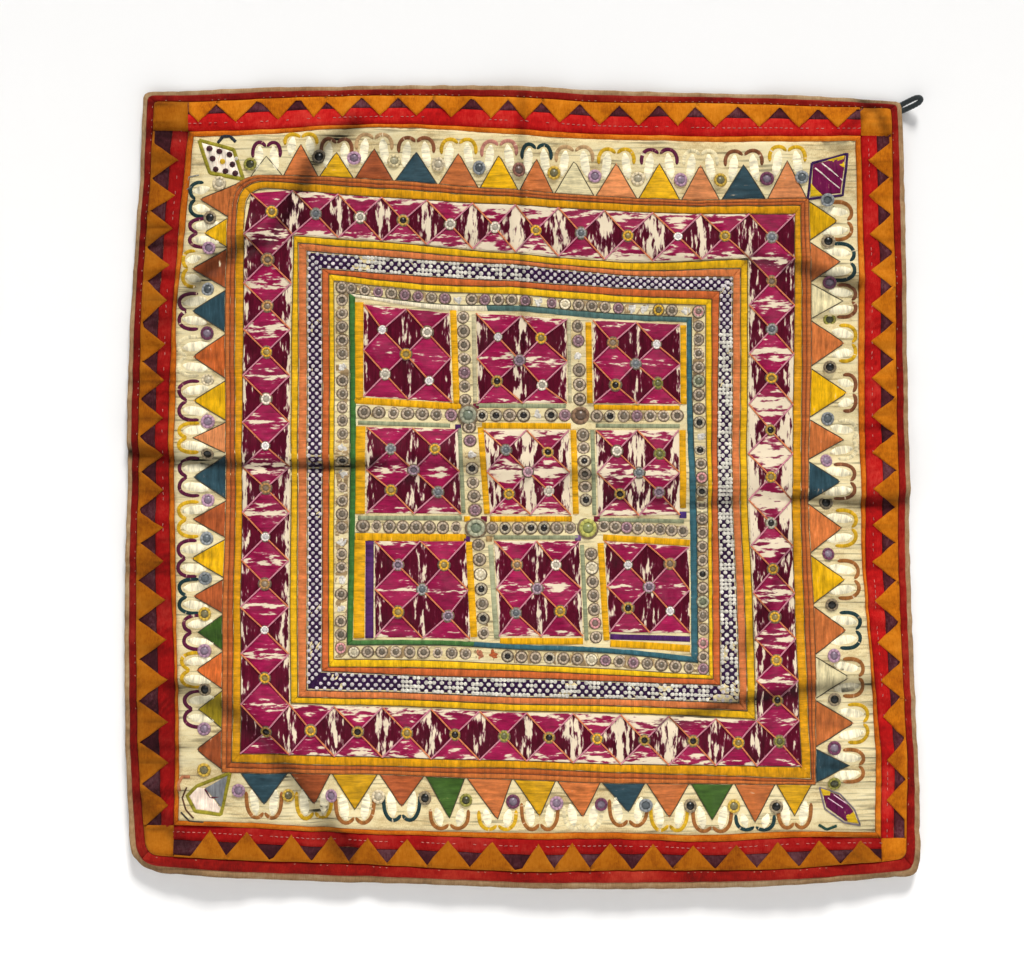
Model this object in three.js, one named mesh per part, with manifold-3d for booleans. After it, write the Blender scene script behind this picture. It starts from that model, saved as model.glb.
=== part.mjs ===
// Mirror-work wall hanging: a square embroidered cloth on a ground cloth, framed by a corded
// edge, a red and a maroon strip, an orange sawtooth applique and a dark red binding, with a
// braid hanging loop sewn behind its top right corner. Millimetres, +Z up. The cloth hangs in the
// XZ plane with its face towards -Y, and the origin is in the wall's plane behind the middle of the
// top edge, 3 mm below the edge.

import * as THREE from 'three';
import * as BufferGeometryUtils from 'three/addons/utils/BufferGeometryUtils.js';
import Module from 'manifold-3d';

const wasm = await Module();
wasm.setup();

// Driving dimensions

const GAP = 0.3; // between two pieces that lie on or beside each other
const GROUND_THICKNESS = 1.2; // ground cloth at the back
const CLOTH_THICKNESS = 1.2; // embroidered centre and each flat strip
const BINDING_THICKNESS = 1.8; // folded double
const PIPING_THICKNESS = 2.4; // folded round a cord
const SIDE_STEPS = 8; // straight stretches along one side of a frame line
const ARC_STEPS = 4; // straight stretches round a corner of the ground cloth
const SIDE_LENGTH = 780; // about how long each side of the hanging is
const MIDDLE = [0, -390]; // of the hanging, in x and z
const COLUMN_DEPTH = 120; // more than the hanging's depth, for cutting a layer to its outline

// Frame lines: where each runs, by its four corners, and how far each side bows out of the
// straight line between its corners at each eighth of the way. Sides run left to right and top to
// bottom.
const FRAME_LINES = {
  ground_edge: {
    topLeft: [-377.5, -2.5], topRight: [382.5, -11.5], bottomRight: [401, -787], bottomLeft: [-389, -781],
    top: [5.5, 8.5, 11, 10.5, 7, 6.5, 4.5], right: [1, 0.5, -0.5, -1.5, -2, -0.5, 1],
    bottom: [6.5, 10.5, 12, 15, 15, 13, 7], left: [3, 8.5, 11, 10, 11, 10, 6.5]
  },
  binding_seam: {
    topLeft: [-366, -12.5], topRight: [372, -18.5], bottomRight: [386, -770], bottomLeft: [-374, -765],
    top: [3.5, 7.5, 9, 7, 3, 4, 1.5], right: [0, 1, 0, -0.5, -1, 1, 3.5],
    bottom: [5, 7.5, 11.5, 14.5, 12.5, 12, 8], left: [4.5, 10.5, 12, 12, 13, 12, 8.5]
  },
  red_edge: {
    topLeft: [-333, -41], topRight: [341, -46.5], bottomRight: [361, -749], bottomLeft: [-346, -736],
    top: [2, 7.5, 8, 3.5, 0, -1, -0.5], right: [0.5, -0.5, -3, -4.5, -6.5, -2.5, 2.5],
    bottom: [1.5, 5, 6, 7, 5.5, 7, 0.5], left: [6.5, 11, 14, 12, 9, 4, 1]
  },
  centre_edge: {
    topLeft: [-327.5, -46.5], topRight: [335.5, -52], bottomRight: [355, -743], bottomLeft: [-341, -731],
    top: [2.5, 9.5, 9, 3, 0, -1, -1], right: [0, -1.5, -4, -4, -4.5, 0, 2.5],
    bottom: [1.5, 5.5, 6.5, 6, 4.5, 5.5, 0], left: [5.5, 12.5, 12.5, 12, 8.5, 6, 2]
  }
};

// How round the ground cloth's corners are cut.
const CORNER_RADIUS = { topLeft: 6, topRight: 5, bottomRight: 17, bottomLeft: 30 };

// Shares of the way from one frame line to the next, outside to inside.
// of ground edge to binding seam, where the binding's outer fold lies
const BINDING_OUTER = { top: 0.37, right: 0.4, bottom: 0.55, left: 0.39 };
// of binding seam to red edge, where the maroon strip meets the red
const MAROON_INNER = { top: 0.42, right: 0.48, bottom: 0.52, left: 0.56 };
// of binding seam to red edge, the point of an orange tooth, and the foot between two
const TOOTH_POINT = { top: 0.71, right: 0.8, bottom: 0.88, left: 0.82 };
const TOOTH_ROOT = { top: 0.08, right: 0.08, bottom: 0.05, left: 0.06 };

// Sawtooth points: the first one's place along its side, then the steps to the following ones.
const TEETH = {
  top: { first: -322, steps: [37, 43, 36, 28, 38, 36, 35, 40, 34, 35, 40, 39, 39, 38, 44, 40, 38] },
  right: { first: -71, steps: [35, 38, 37, 34, 37, 37, 38, 36, 37, 36, 37, 39, 42, 38, 36, 43, 40] },
  bottom: { first: -310, steps: [37, 45, 39, 37, 39, 41, 44, 46, 34, 38, 43, 40, 43, 41, 42, 42] },
  left: { first: -71, steps: [35, 33, 37, 35, 44, 36, 38, 37, 35, 38, 33, 39, 40, 40, 42, 41, 42] }
};

// Storage folds still in the cloth: ridges along a line, each with its rise off the wall and how
// far it falls away on the upper (or left) side and on the lower (or right) side.
const FOLDS = [
  { name: 'cross_fold', from: [-400, -352], to: [400, -407], rise: 6, upper: 26, lower: 10 },
  { name: 'upright_fold', from: [4, 10], to: [0, -230], rise: 4.5, upper: 9, lower: 24 },
  { name: 'upper_left_fold', from: [-330, -133], to: [-225, -148], rise: 3.5, upper: 20, lower: 10 },
  { name: 'upper_right_fold', from: [110, -156], to: [330, -184], rise: 3.5, upper: 24, lower: 11 },
  { name: 'lower_right_fold', from: [160, -596], to: [350, -602], rise: 3.5, upper: 20, lower: 10 },
  { name: 'lower_left_fold', from: [-240, -668], to: [-176, -752], rise: -3.5, upper: 13, lower: 13 },
  { name: 'top_pucker', from: [-182, -30], to: [-176, -60], rise: -2.5, upper: 11, lower: 11 }
];
const FOLD_FADE = 45; // a fold dies away over this far past each end

// Slow swells between the folds: where the cloth stands off the wall, how far and how wide.
const SWELLS = [
  { at: [-210, -190], rise: 4, radius: 150 },
  { at: [215, -230], rise: 3.5, radius: 150 },
  { at: [-170, -560], rise: 5, radius: 170 },
  { at: [190, -520], rise: 3, radius: 140 },
  { at: [60, -760], rise: 9, radius: 260 },
  { at: [-330, -790], rise: 7, radius: 150 },
  { at: [330, -790], rise: 6, radius: 150 }
];

// Sewing lattice: every layer bends along these lines. Rows lean with the cross fold.
const COLUMNS = [-440, -330, -265, -200, -135, -75, -12, 4, 22, 50, 110, 180, 250, 330, 440];
const ROWS = [60, -45, -138, -158, -176, -250, -325, -358, -380, -392, -420, -490, -555,
  -582, -602, -680, -750, -860];
const ROW_LEAN = -55 / 800;

// Hanging loop: a soft round braid doubled back on itself, its ends sewn to the ground cloth's back.
// One run's route from the sewn end to the tip, in the loop's own directions. The other mirrors it.
const LOOP = {
  root: [371.5, -22.5], // under the corner, where the sewn ends lie
  heading: 24, // degrees above level
  diameter: 5.6,
  behind: 3.4, // centreline of the sewn ends, behind the top edge's back
  sides: 8,
  steps: 24,
  route: [
    { along: 0, across: 3, lift: 0 },
    { along: 5, across: 3, lift: 0 },
    { along: 10, across: 3, lift: 0 },
    { along: 15, across: 3.1, lift: 0.8 },
    { along: 20, across: 3.2, lift: 3.2 },
    { along: 25, across: 3.2, lift: 6.2 },
    { along: 29, across: 2.8, lift: 8.5 },
    { along: 31.4, across: 1.6, lift: 9.6 },
    { along: 32.3, across: 0, lift: 10 }
  ]
};

// Cloth relief

// How far the cloth's back stands off the wall at a place on the hanging.
function relief(x, z) {
  let standOff = 0;
  for (const fold of FOLDS) standOff += foldHeight(fold, x, z);
  for (const swell of SWELLS) {
    const away = Math.hypot(x - swell.at[0], z - swell.at[1]) / swell.radius;
    standOff += swell.rise * Math.exp(-away * away);
  }
  return standOff;
}

function foldHeight(fold, x, z) {
  const run = [fold.to[0] - fold.from[0], fold.to[1] - fold.from[1]];
  const length = Math.hypot(run[0], run[1]);
  const along = ((x - fold.from[0]) * run[0] + (z - fold.from[1]) * run[1]) / length;
  const across = ((x - fold.from[0]) * run[1] - (z - fold.from[1]) * run[0]) / length;
  const width = across > 0 ? fold.lower : fold.upper;
  const past = Math.max(-along, along - length, 0) / FOLD_FADE;
  return fold.rise * Math.exp(-((across / width) ** 2) - past * past);
}

// A closed sheet over the whole lattice, from one height above the ground cloth's back to another.
function sheet(bottom, top) {
  const across = COLUMNS.length;
  const places = [];
  for (const height of [bottom, top]) {
    for (const row of ROWS) {
      for (const x of COLUMNS) {
        const z = row + ROW_LEAN * x;
        places.push(x, -relief(x, z) - height, z);
      }
    }
  }
  const layer = across * ROWS.length;
  const faces = [];
  for (let j = 0; j < ROWS.length - 1; j++) {
    for (let i = 0; i < across - 1; i++) {
      const a = j * across + i;
      const [b, c, d] = [a + 1, a + across + 1, a + across];
      faces.push(a, b, c, a, c, d);
      faces.push(layer + a, layer + c, layer + b, layer + a, layer + d, layer + c);
    }
  }
  const rim = [];
  for (let i = 0; i < across - 1; i++) rim.push(i);
  for (let j = 0; j < ROWS.length - 1; j++) rim.push(j * across + across - 1);
  for (let i = across - 1; i > 0; i--) rim.push((ROWS.length - 1) * across + i);
  for (let j = ROWS.length - 1; j > 0; j--) rim.push(j * across);
  rim.forEach((a, k) => {
    const b = rim[(k + 1) % rim.length];
    faces.push(b, a, layer + a, b, layer + a, layer + b);
  });
  return solid(places, faces);
}

function solid(places, faces) {
  return new wasm.Manifold(new wasm.Mesh({
    numProp: 3,
    vertProperties: Float32Array.from(places),
    triVerts: Uint32Array.from(faces)
  }));
}

function solidOf(geometry) {
  const bare = geometry.clone();
  bare.deleteAttribute('normal');
  bare.deleteAttribute('uv');
  const merged = BufferGeometryUtils.mergeVertices(bare, 1e-4);
  return solid(merged.attributes.position.array, merged.index.array);
}

function geometryOf(body) {
  const mesh = body.getMesh();
  const geometry = new THREE.BufferGeometry();
  geometry.setAttribute('position', new THREE.BufferAttribute(mesh.vertProperties, 3));
  geometry.setIndex(new THREE.BufferAttribute(mesh.triVerts, 1));
  geometry.computeVertexNormals();
  return geometry;
}

// Frame lines and sides

const SIDES = {
  top: { from: 'topLeft', to: 'topRight', out: [0, 1], along: 0 },
  right: { from: 'topRight', to: 'bottomRight', out: [1, 0], along: 1 },
  bottom: { from: 'bottomLeft', to: 'bottomRight', out: [0, -1], along: 0 },
  left: { from: 'topLeft', to: 'bottomLeft', out: [-1, 0], along: 1 }
};

// Straight stretches through evenly spaced heights, zero at both ends.
function bow(heights, share) {
  const knots = [0, ...heights, 0];
  const place = Math.min(Math.max(share, 0), 1) * SIDE_STEPS;
  const k = Math.min(Math.floor(place), SIDE_STEPS - 1);
  return knots[k] + (knots[k + 1] - knots[k]) * (place - k);
}

// Two shares of a side and every eighth between them.
function sharesFrom(start, stop) {
  const eighths = [];
  for (let k = 1; k < SIDE_STEPS; k++) eighths.push(k / SIDE_STEPS);
  return [start, ...eighths.filter((share) => share > start && share < stop), stop];
}

// A line is a function of a side's name and the share of the way along it.
function frameLine(name) {
  const line = FRAME_LINES[name];
  return (sideName, share) => {
    const side = SIDES[sideName];
    const from = line[side.from];
    const to = line[side.to];
    const out = bow(line[sideName], share);
    return [0, 1].map((k) => from[k] + (to[k] - from[k]) * share + side.out[k] * out);
  };
}

function between(outer, inner, mix) {
  return (sideName, share) => {
    const a = outer(sideName, share);
    const b = inner(sideName, share);
    return [0, 1].map((k) => a[k] + (b[k] - a[k]) * mix[sideName]);
  };
}

const groundEdge = frameLine('ground_edge');
const bindingSeam = frameLine('binding_seam');
const redEdge = frameLine('red_edge');
const centreEdge = frameLine('centre_edge');

const bindingOuter = between(groundEdge, bindingSeam, BINDING_OUTER);
const maroonEdge = between(bindingSeam, redEdge, MAROON_INNER);
const toothRoot = between(bindingSeam, redEdge, TOOTH_ROOT);
const toothPoint = between(bindingSeam, redEdge, TOOTH_POINT);

// The share of the way along a side's line that lies at a place on the side's own direction.
function shareAt(line, sideName, place) {
  const along = SIDES[sideName].along;
  const start = line(sideName, 0)[along];
  const end = line(sideName, 1)[along];
  return (place - start) / (end - start);
}

// Outlines in the plane of the wall, as lists of [x, z]

// A strip between two lines along one side, mitred to the strips beside it.
function stripOutline(outer, inner, sideName) {
  const trim = GAP / SIDE_LENGTH;
  const shares = sharesFrom(trim, 1 - trim);
  const side = SIDES[sideName];
  const inset = (place, sign) => place.map((v, k) => v - sign * side.out[k] * GAP / 2);
  const rim = shares.map((share) => inset(outer(sideName, share), 1));
  const heel = shares.map((share) => inset(inner(sideName, share), -1));
  return [...rim, ...heel.reverse()];
}

// A whole ring line as one closed outline, pulled in by half a gap.
function ringOutline(line) {
  const points = [];
  const pull = (place) => place.map((v, k) => v - Math.sign(v - MIDDLE[k]) * GAP / 2);
  for (let k = 0; k < SIDE_STEPS; k++) points.push(pull(line('top', k / SIDE_STEPS)));
  for (let k = 0; k < SIDE_STEPS; k++) points.push(pull(line('right', k / SIDE_STEPS)));
  for (let k = SIDE_STEPS; k > 0; k--) points.push(pull(line('bottom', k / SIDE_STEPS)));
  for (let k = SIDE_STEPS; k > 0; k--) points.push(pull(line('left', k / SIDE_STEPS)));
  return points;
}

// The ground cloth's own outline, with its corners cut round.
function groundOutline() {
  const turns = [
    { corner: 'topLeft', side: 'top', backwards: false, next: 'topRight' },
    { corner: 'topRight', side: 'right', backwards: false, next: 'bottomRight' },
    { corner: 'bottomRight', side: 'bottom', backwards: true, next: 'bottomLeft' },
    { corner: 'bottomLeft', side: 'left', backwards: true, next: 'topLeft' }
  ];
  const points = [];
  for (const turn of turns) {
    const start = CORNER_RADIUS[turn.corner] / SIDE_LENGTH;
    const nextStart = CORNER_RADIUS[turn.next] / SIDE_LENGTH;
    const stop = 1 - nextStart;
    const at = (share) => groundEdge(turn.side, turn.backwards ? 1 - share : share);
    points.push(...sharesFrom(start, stop).map(at));
    const following = turns[(turns.indexOf(turn) + 1) % turns.length];
    const entry = at(stop);
    const exit = groundEdge(following.side, following.backwards ? 1 - nextStart : nextStart);
    const corner = FRAME_LINES.ground_edge[turn.next];
    for (let k = 1; k < ARC_STEPS; k++) {
      const f = k / ARC_STEPS;
      const blend = [(1 - f) ** 2, 2 * f * (1 - f), f * f];
      points.push([0, 1].map((m) => blend[0] * entry[m] + blend[1] * corner[m] + blend[2] * exit[m]));
    }
  }
  return points;
}

// The toothed inner edge of an orange strip, from its first foot to its last, kept between limits.
function teeth(sideName, limits) {
  const { first, steps } = TEETH[sideName];
  const direction = SIDES[sideName].along === 0 ? 1 : -1;
  const points = [];
  const put = (line, place) => {
    const kept = Math.min(Math.max(place, Math.min(...limits)), Math.max(...limits));
    points.push(line(sideName, shareAt(line, sideName, kept)));
  };
  let place = first;
  put(toothRoot, first - direction * steps[0] / 2);
  for (const step of [...steps, steps.at(-1)]) {
    put(toothPoint, place);
    put(toothRoot, place + direction * step / 2);
    place += direction * step;
  }
  return points;
}

// Orange strips: the side ones end in plain square blocks that fill the corners, and the top and
// bottom ones fit between those blocks.
function sawtoothOutline(sideName) {
  const side = SIDES[sideName];
  const seam = (share) => bindingSeam(sideName, share).map((v, k) => v - side.out[k] * GAP);
  const rim = (start, stop) => sharesFrom(start, stop).map(seam);
  if (side.along === 1) {
    const sign = -side.out[0];
    const topBlock = redEdge(sideName, 0);
    const lowBlock = redEdge(sideName, 1);
    const topSeam = (x) => bindingSeam('top', shareAt(bindingSeam, 'top', x))[1] - GAP;
    const lowSeam = (x) => bindingSeam('bottom', shareAt(bindingSeam, 'bottom', x))[1] + GAP;
    const start = shareAt(bindingSeam, sideName, topSeam(seam(0)[0]));
    const stop = shareAt(bindingSeam, sideName, lowSeam(seam(1)[0]));
    const limits = [topBlock[1] - GAP, lowBlock[1] + GAP];
    const inner = { top: topBlock[0] - sign * GAP, low: lowBlock[0] - sign * GAP };
    return [
      ...rim(start, stop),
      [inner.low, lowSeam(inner.low)],
      [inner.low, lowBlock[1]],
      [toothRoot(sideName, 1)[0], lowBlock[1]],
      ...teeth(sideName, limits).reverse(),
      [toothRoot(sideName, 0)[0], topBlock[1]],
      [inner.top, topBlock[1]],
      [inner.top, topSeam(inner.top)]
    ];
  }
  const cornerShare = sideName === 'top' ? 0 : 1;
  const limits = [redEdge('left', cornerShare)[0] + GAP, redEdge('right', cornerShare)[0] - GAP];
  return [
    ...rim(shareAt(bindingSeam, sideName, limits[0]), shareAt(bindingSeam, sideName, limits[1])),
    ...teeth(sideName, limits).reverse()
  ];
}

// Pieces

// A straight column of an outline's shape, from far behind the hanging to far in front.
function column(outline) {
  const shape = new THREE.Shape(outline.map(([x, z]) => new THREE.Vector2(x, z)));
  const geometry = new THREE.ExtrudeGeometry(shape, {
    depth: COLUMN_DEPTH,
    bevelEnabled: false,
    curveSegments: 1
  });
  geometry.rotateX(Math.PI / 2);
  geometry.translate(0, COLUMN_DEPTH / 2, 0);
  return solidOf(geometry);
}

const hanging = new THREE.Group();

function addPiece(name, geometry, colour, roughness) {
  const material = new THREE.MeshStandardMaterial({ color: colour, roughness, metalness: 0 });
  const mesh = new THREE.Mesh(geometry, material);
  mesh.name = name;
  hanging.add(mesh);
}

function addLayer(name, outline, bottom, thickness, colour) {
  const cut = sheet(bottom, bottom + thickness).intersect(column(outline));
  addPiece(name, geometryOf(cut), colour, 0.9);
}

const ON_GROUND = GROUND_THICKNESS + GAP;
const ON_STRIP = ON_GROUND + CLOTH_THICKNESS + GAP;

addLayer('ground_cloth', groundOutline(), 0, GROUND_THICKNESS, 0xa88f78);
addLayer('embroidered_centre', ringOutline(centreEdge), ON_GROUND, CLOTH_THICKNESS, 0xeadcb4);

const STRIPS = [
  { name: 'piping', outer: redEdge, inner: centreEdge, thickness: PIPING_THICKNESS, colour: 0xd9701a },
  { name: 'red_strip', outer: maroonEdge, inner: redEdge, thickness: CLOTH_THICKNESS, colour: 0xc0202a },
  { name: 'maroon_strip', outer: bindingSeam, inner: maroonEdge, thickness: CLOTH_THICKNESS, colour: 0x4a1420 },
  { name: 'binding', outer: bindingOuter, inner: bindingSeam, thickness: BINDING_THICKNESS, colour: 0x8e1a12 }
];
for (const side of Object.keys(SIDES)) {
  for (const strip of STRIPS) {
    const outline = stripOutline(strip.outer, strip.inner, side);
    addLayer(`${strip.name}_${side}`, outline, ON_GROUND, strip.thickness, strip.colour);
  }
  addLayer(`sawtooth_${side}`, sawtoothOutline(side), ON_STRIP, CLOTH_THICKNESS, 0xd9860f);
}

// Hanging loop: a round section drawn along the doubled route.
function loopGeometry() {
  const back = LOOP.route.slice(0, -1).reverse().map((p) => ({ ...p, across: -p.across }));
  const turn = THREE.MathUtils.degToRad(LOOP.heading);
  const [cos, sin] = [Math.cos(turn), Math.sin(turn)];
  const points = [...LOOP.route, ...back].map((p) => new THREE.Vector3(
    LOOP.root[0] + p.along * cos - p.across * sin,
    LOOP.behind - p.lift,
    LOOP.root[1] + p.along * sin + p.across * cos
  ));
  const section = new THREE.Shape();
  for (let k = 0; k < LOOP.sides; k++) {
    const angle = 2 * Math.PI * k / LOOP.sides;
    const corner = [Math.cos(angle), Math.sin(angle)].map((v) => v * LOOP.diameter / 2);
    if (k === 0) section.moveTo(...corner);
    else section.lineTo(...corner);
  }
  return new THREE.ExtrudeGeometry(section, {
    extrudePath: new THREE.CatmullRomCurve3(points, false, 'centripetal'),
    steps: LOOP.steps,
    curveSegments: 1
  });
}

addPiece('hanging_loop', loopGeometry(), 0x1e2426, 0.7);

export default hanging;
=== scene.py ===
# Mirror-work wall hanging: an embroidered and mirrored cotton square, framed by piping, a red and
# a maroon strip, an orange sawtooth and a dark red binding on an unbleached ground cloth, with a
# braid loop behind its top right corner. Metres, +Z up; tables are in millimetres, x and z.

import functools
import math

import bpy
import numpy as np
from mathutils import Matrix, Vector


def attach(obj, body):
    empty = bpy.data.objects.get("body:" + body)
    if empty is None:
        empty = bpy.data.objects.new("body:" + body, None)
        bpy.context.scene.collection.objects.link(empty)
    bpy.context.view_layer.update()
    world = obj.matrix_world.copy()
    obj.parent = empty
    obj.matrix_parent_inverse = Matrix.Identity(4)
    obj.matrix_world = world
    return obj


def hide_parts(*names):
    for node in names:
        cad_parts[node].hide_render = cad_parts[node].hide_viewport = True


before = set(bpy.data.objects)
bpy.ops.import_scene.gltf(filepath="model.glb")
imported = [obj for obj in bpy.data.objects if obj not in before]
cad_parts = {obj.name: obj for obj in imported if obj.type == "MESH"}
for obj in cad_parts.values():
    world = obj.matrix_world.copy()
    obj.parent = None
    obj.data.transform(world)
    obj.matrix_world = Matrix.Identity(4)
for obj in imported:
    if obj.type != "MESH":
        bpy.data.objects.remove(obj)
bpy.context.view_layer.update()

# ---------------------------------------------------------------------------------------------
# Camera: a long lens, square on to the hanging, a little left of its middle.

MM = 0.001
LENS = 80
SENSOR = 36
SEEN_WIDTH = 1.024  # across the picture, at the cloth's face
FACE = -0.008  # where most of the embroidered face lies, in y

camera_data = bpy.data.cameras.new("camera")
camera_data.lens = LENS
camera_data.sensor_width = SENSOR
camera_data.clip_end = 50
camera = bpy.data.objects.new("camera", camera_data)
camera.location = (-0.008, FACE - SEEN_WIDTH * LENS / SENSOR, -0.399)
camera.rotation_euler = (math.pi / 2, 0, 0)
bpy.context.scene.collection.objects.link(camera)
bpy.context.scene.camera = camera
bpy.context.scene.view_settings.view_transform = "Standard"


# ---------------------------------------------------------------------------------------------
# Hanging loop: a soft black cotton braid, doubled back on itself and sewn behind the top right
# corner. Its route is the same as the solid's.

LOOP_ROOT = (371.5, -22.5)
LOOP_HEADING = math.radians(24)
LOOP_BEHIND = 3.4
LOOP_DIAMETER = 5.6
LOOP_ROUTE = (  # along, across, lift
    (0, 3, 0), (5, 3, 0), (10, 3, 0), (15, 3.1, 0.8), (20, 3.2, 3.2), (25, 3.2, 6.2),
    (29, 2.8, 8.5), (31.4, 1.6, 9.6), (32.3, 0, 10),
)
LOOP_STEPS, LOOP_SIDES = 120, 16  # stretches along it and faces round it
PLAIT_STEP = 3.4  # from one crossing of the plait to the next
PLAIT_WIDTH = 13.8  # round the braid, for its pattern


def put(tree, kind, inputs=None, **settings):
    """One node of a material or of a Geometry Nodes tree, with its sockets set or linked."""
    node = tree.nodes.new(kind)
    for key, value in settings.items():
        setattr(node, key, value)
    for key, value in (inputs or {}).items():
        if isinstance(value, bpy.types.NodeSocket):
            tree.links.new(value, node.inputs[key])
        else:
            node.inputs[key].default_value = value
    return node


def colour(code):
    """A written sRGB colour as the linear one that a shader takes."""
    parts = [int(code[k:k + 2], 16) / 255 for k in (0, 2, 4)]
    return [c / 12.92 if c <= 0.04045 else ((c + 0.055) / 1.055) ** 2.4 for c in parts] + [1.0]


def new_material(name, roughness, sheen=0.0, gloss=0.3):
    """A material with its surface shader, ready for the nodes that colour it."""
    material = bpy.data.materials.new(name)
    material.use_nodes = True
    tree = material.node_tree
    surface = tree.nodes["Principled BSDF"]
    for key, value in (("Roughness", roughness), ("Specular IOR Level", gloss),
                       ("Sheen Weight", sheen), ("Sheen Roughness", 0.4)):
        surface.inputs[key].default_value = value
    return material, tree, surface


def stretched(tree, place, scale, rotation=(0, 0, 0)):
    """A place with its axes turned and stretched, so that a pattern on it runs long or short."""
    return put(tree, "ShaderNodeMapping", {"Vector": place, "Rotation": rotation,
                                           "Scale": scale}).outputs[0]


def clouds(tree, place, scale, detail, roughness=0.5, output="Fac"):
    """Cloudy noise, about 0.5 in the middle."""
    return put(tree, "ShaderNodeTexNoise", {"Vector": place, "Scale": scale, "Detail": detail,
                                            "Roughness": roughness}).outputs[output]


def shades(tree, value, *stops):
    """A run of colours over a value, from (place, colour) to (place, colour)."""
    ramp = put(tree, "ShaderNodeValToRGB", {"Fac": value})
    first, *others, last = stops
    for element, (place, code) in zip(ramp.color_ramp.elements, (first, last)):
        element.position = place
        element.color = colour(code)
    for place, code in others:
        ramp.color_ramp.elements.new(place).color = colour(code)
    return ramp.outputs[0]


def finish_surface(tree, surface, base, height=None, strength=0.0, distance=0.0):
    """Gives a surface its colour and the relief of a height."""
    tree.links.new(base, surface.inputs["Base Color"])
    if height:
        bump = put(tree, "ShaderNodeBump", {"Height": height, "Strength": strength,
                                            "Distance": distance})
        tree.links.new(bump.outputs[0], surface.inputs["Normal"])


def keep_piece(name, mesh):
    """Puts a finished mesh in the scene, on the hanging's one body."""
    piece = bpy.data.objects.new(name, mesh)
    bpy.context.scene.collection.objects.link(piece)
    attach(piece, "root")
    return piece


def reach_along(path):
    """How far along a path each of its points lies."""
    return np.concatenate([[0], np.cumsum(np.linalg.norm(np.diff(path, axis=0), axis=1))])


def new_object(name, places, faces, material, uv=None, marks=None):
    """A piece from places in millimetres, with its pattern coordinates and its marks per point."""
    mesh = bpy.data.meshes.new(name)
    mesh.from_pydata((np.asarray(places) * MM).tolist(), [], faces)
    if uv is not None:
        loops = np.empty(len(mesh.loops), dtype=np.int32)
        mesh.loops.foreach_get("vertex_index", loops)
        layer = mesh.uv_layers.new(name="stitching")
        layer.data.foreach_set("uv", (np.asarray(uv)[loops] * MM).astype(np.float32).ravel())
    for key, values in (marks or {}).items():
        values = np.asarray(values, dtype=np.float32)
        kind = "FLOAT" if values.ndim == 1 else "FLOAT_COLOR"
        layer = mesh.attributes.new(key, kind, "POINT")
        layer.data.foreach_set("value" if kind == "FLOAT" else "color", values.ravel())
    mesh.polygons.foreach_set("use_smooth", [True] * len(mesh.polygons))
    mesh.materials.append(material)
    mesh.update()
    return keep_piece(name, mesh)


def curve_through(points, count):
    """A smooth line through the points, evenly spaced along its length."""
    points = np.asarray(points, dtype=float)
    padded = np.vstack([2 * points[0] - points[1], points, 2 * points[-1] - points[-2]])
    line = []
    for k in range(1, len(padded) - 2):
        a, b, c, d = padded[k - 1:k + 3]
        for f in np.linspace(0, 1, 12, endpoint=False):
            line.append(0.5 * (2 * b + (c - a) * f + (2 * a - 5 * b + 4 * c - d) * f * f
                               + (3 * b - a - 3 * c + d) * f ** 3))
    line = np.array(line + [points[-1]])
    reach = reach_along(line)
    even = np.linspace(0, reach[-1], count)
    return np.stack([np.interp(even, reach, line[:, k]) for k in range(3)], axis=1), reach[-1]


def make_loop():
    """The braid: a cord along its route, with the ridges of four strands round it."""
    cos, sin = math.cos(LOOP_HEADING), math.sin(LOOP_HEADING)
    runs = list(LOOP_ROUTE) + [(a, -b, c) for a, b, c in reversed(LOOP_ROUTE[:-1])]
    route = [(LOOP_ROOT[0] + a * cos - b * sin, LOOP_BEHIND - c, LOOP_ROOT[1] + a * sin + b * cos)
             for a, b, c in runs]
    path, length = curve_through(route, LOOP_STEPS + 1)
    places, uv = [], []
    ahead = np.gradient(path, axis=0)
    ahead /= np.linalg.norm(ahead, axis=1)[:, None]
    normal = np.cross(ahead[0], [0, 1, 0])
    for k, (centre, way) in enumerate(zip(path, ahead)):
        normal = normal - way * normal.dot(way)
        normal /= np.linalg.norm(normal)
        other = np.cross(way, normal)
        reach = length * k / LOOP_STEPS
        crossing = reach * math.pi / PLAIT_STEP
        end = min(1, 0.55 + reach / 4, 0.55 + (length - reach) / 4)
        for turn in np.arange(LOOP_SIDES) * 2 * math.pi / LOOP_SIDES:
            strand = math.sin(2 * turn + crossing) * math.sin(2 * turn - crossing)
            size = LOOP_DIAMETER / 2 * (0.97 + 0.08 * strand) * end
            places.append(centre + size * (math.cos(turn) * normal + math.sin(turn) * other))
            uv.append((reach, turn / (2 * math.pi) * PLAIT_WIDTH))
    index = np.arange(len(places)).reshape(-1, LOOP_SIDES)
    a, b = index[:-1], index[1:]
    quads = np.stack([np.roll(a, -1, 1), np.roll(b, -1, 1), b, a], axis=-1).reshape(-1, 4)
    faces = quads.tolist() + [index[0, ::-1].tolist(), index[-1].tolist()]

    material, tree, surface = new_material("black braid", 0.55, 0.35)
    spot = put(tree, "ShaderNodeUVMap", uv_map="stitching").outputs[0]
    yarn = clouds(tree, stretched(tree, spot, (1500, 900, 1), (0, 0, 0.6)), 1.0, 2.0)
    finish_surface(tree, surface, shades(tree, yarn, (0, "0B0E10"), (1, "3A4346")), yarn, 0.5,
                   0.0004)
    braid = new_object("braid_loop", places, faces, material, uv)
    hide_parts("hanging_loop")


make_loop()


# ---------------------------------------------------------------------------------------------
# Ground cloth: unbleached plain cotton, one piece, cut by hand with its corners rounded. Its raw
# edge shows all round, a little frayed, and it carries the storage folds that every layer follows.

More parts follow.
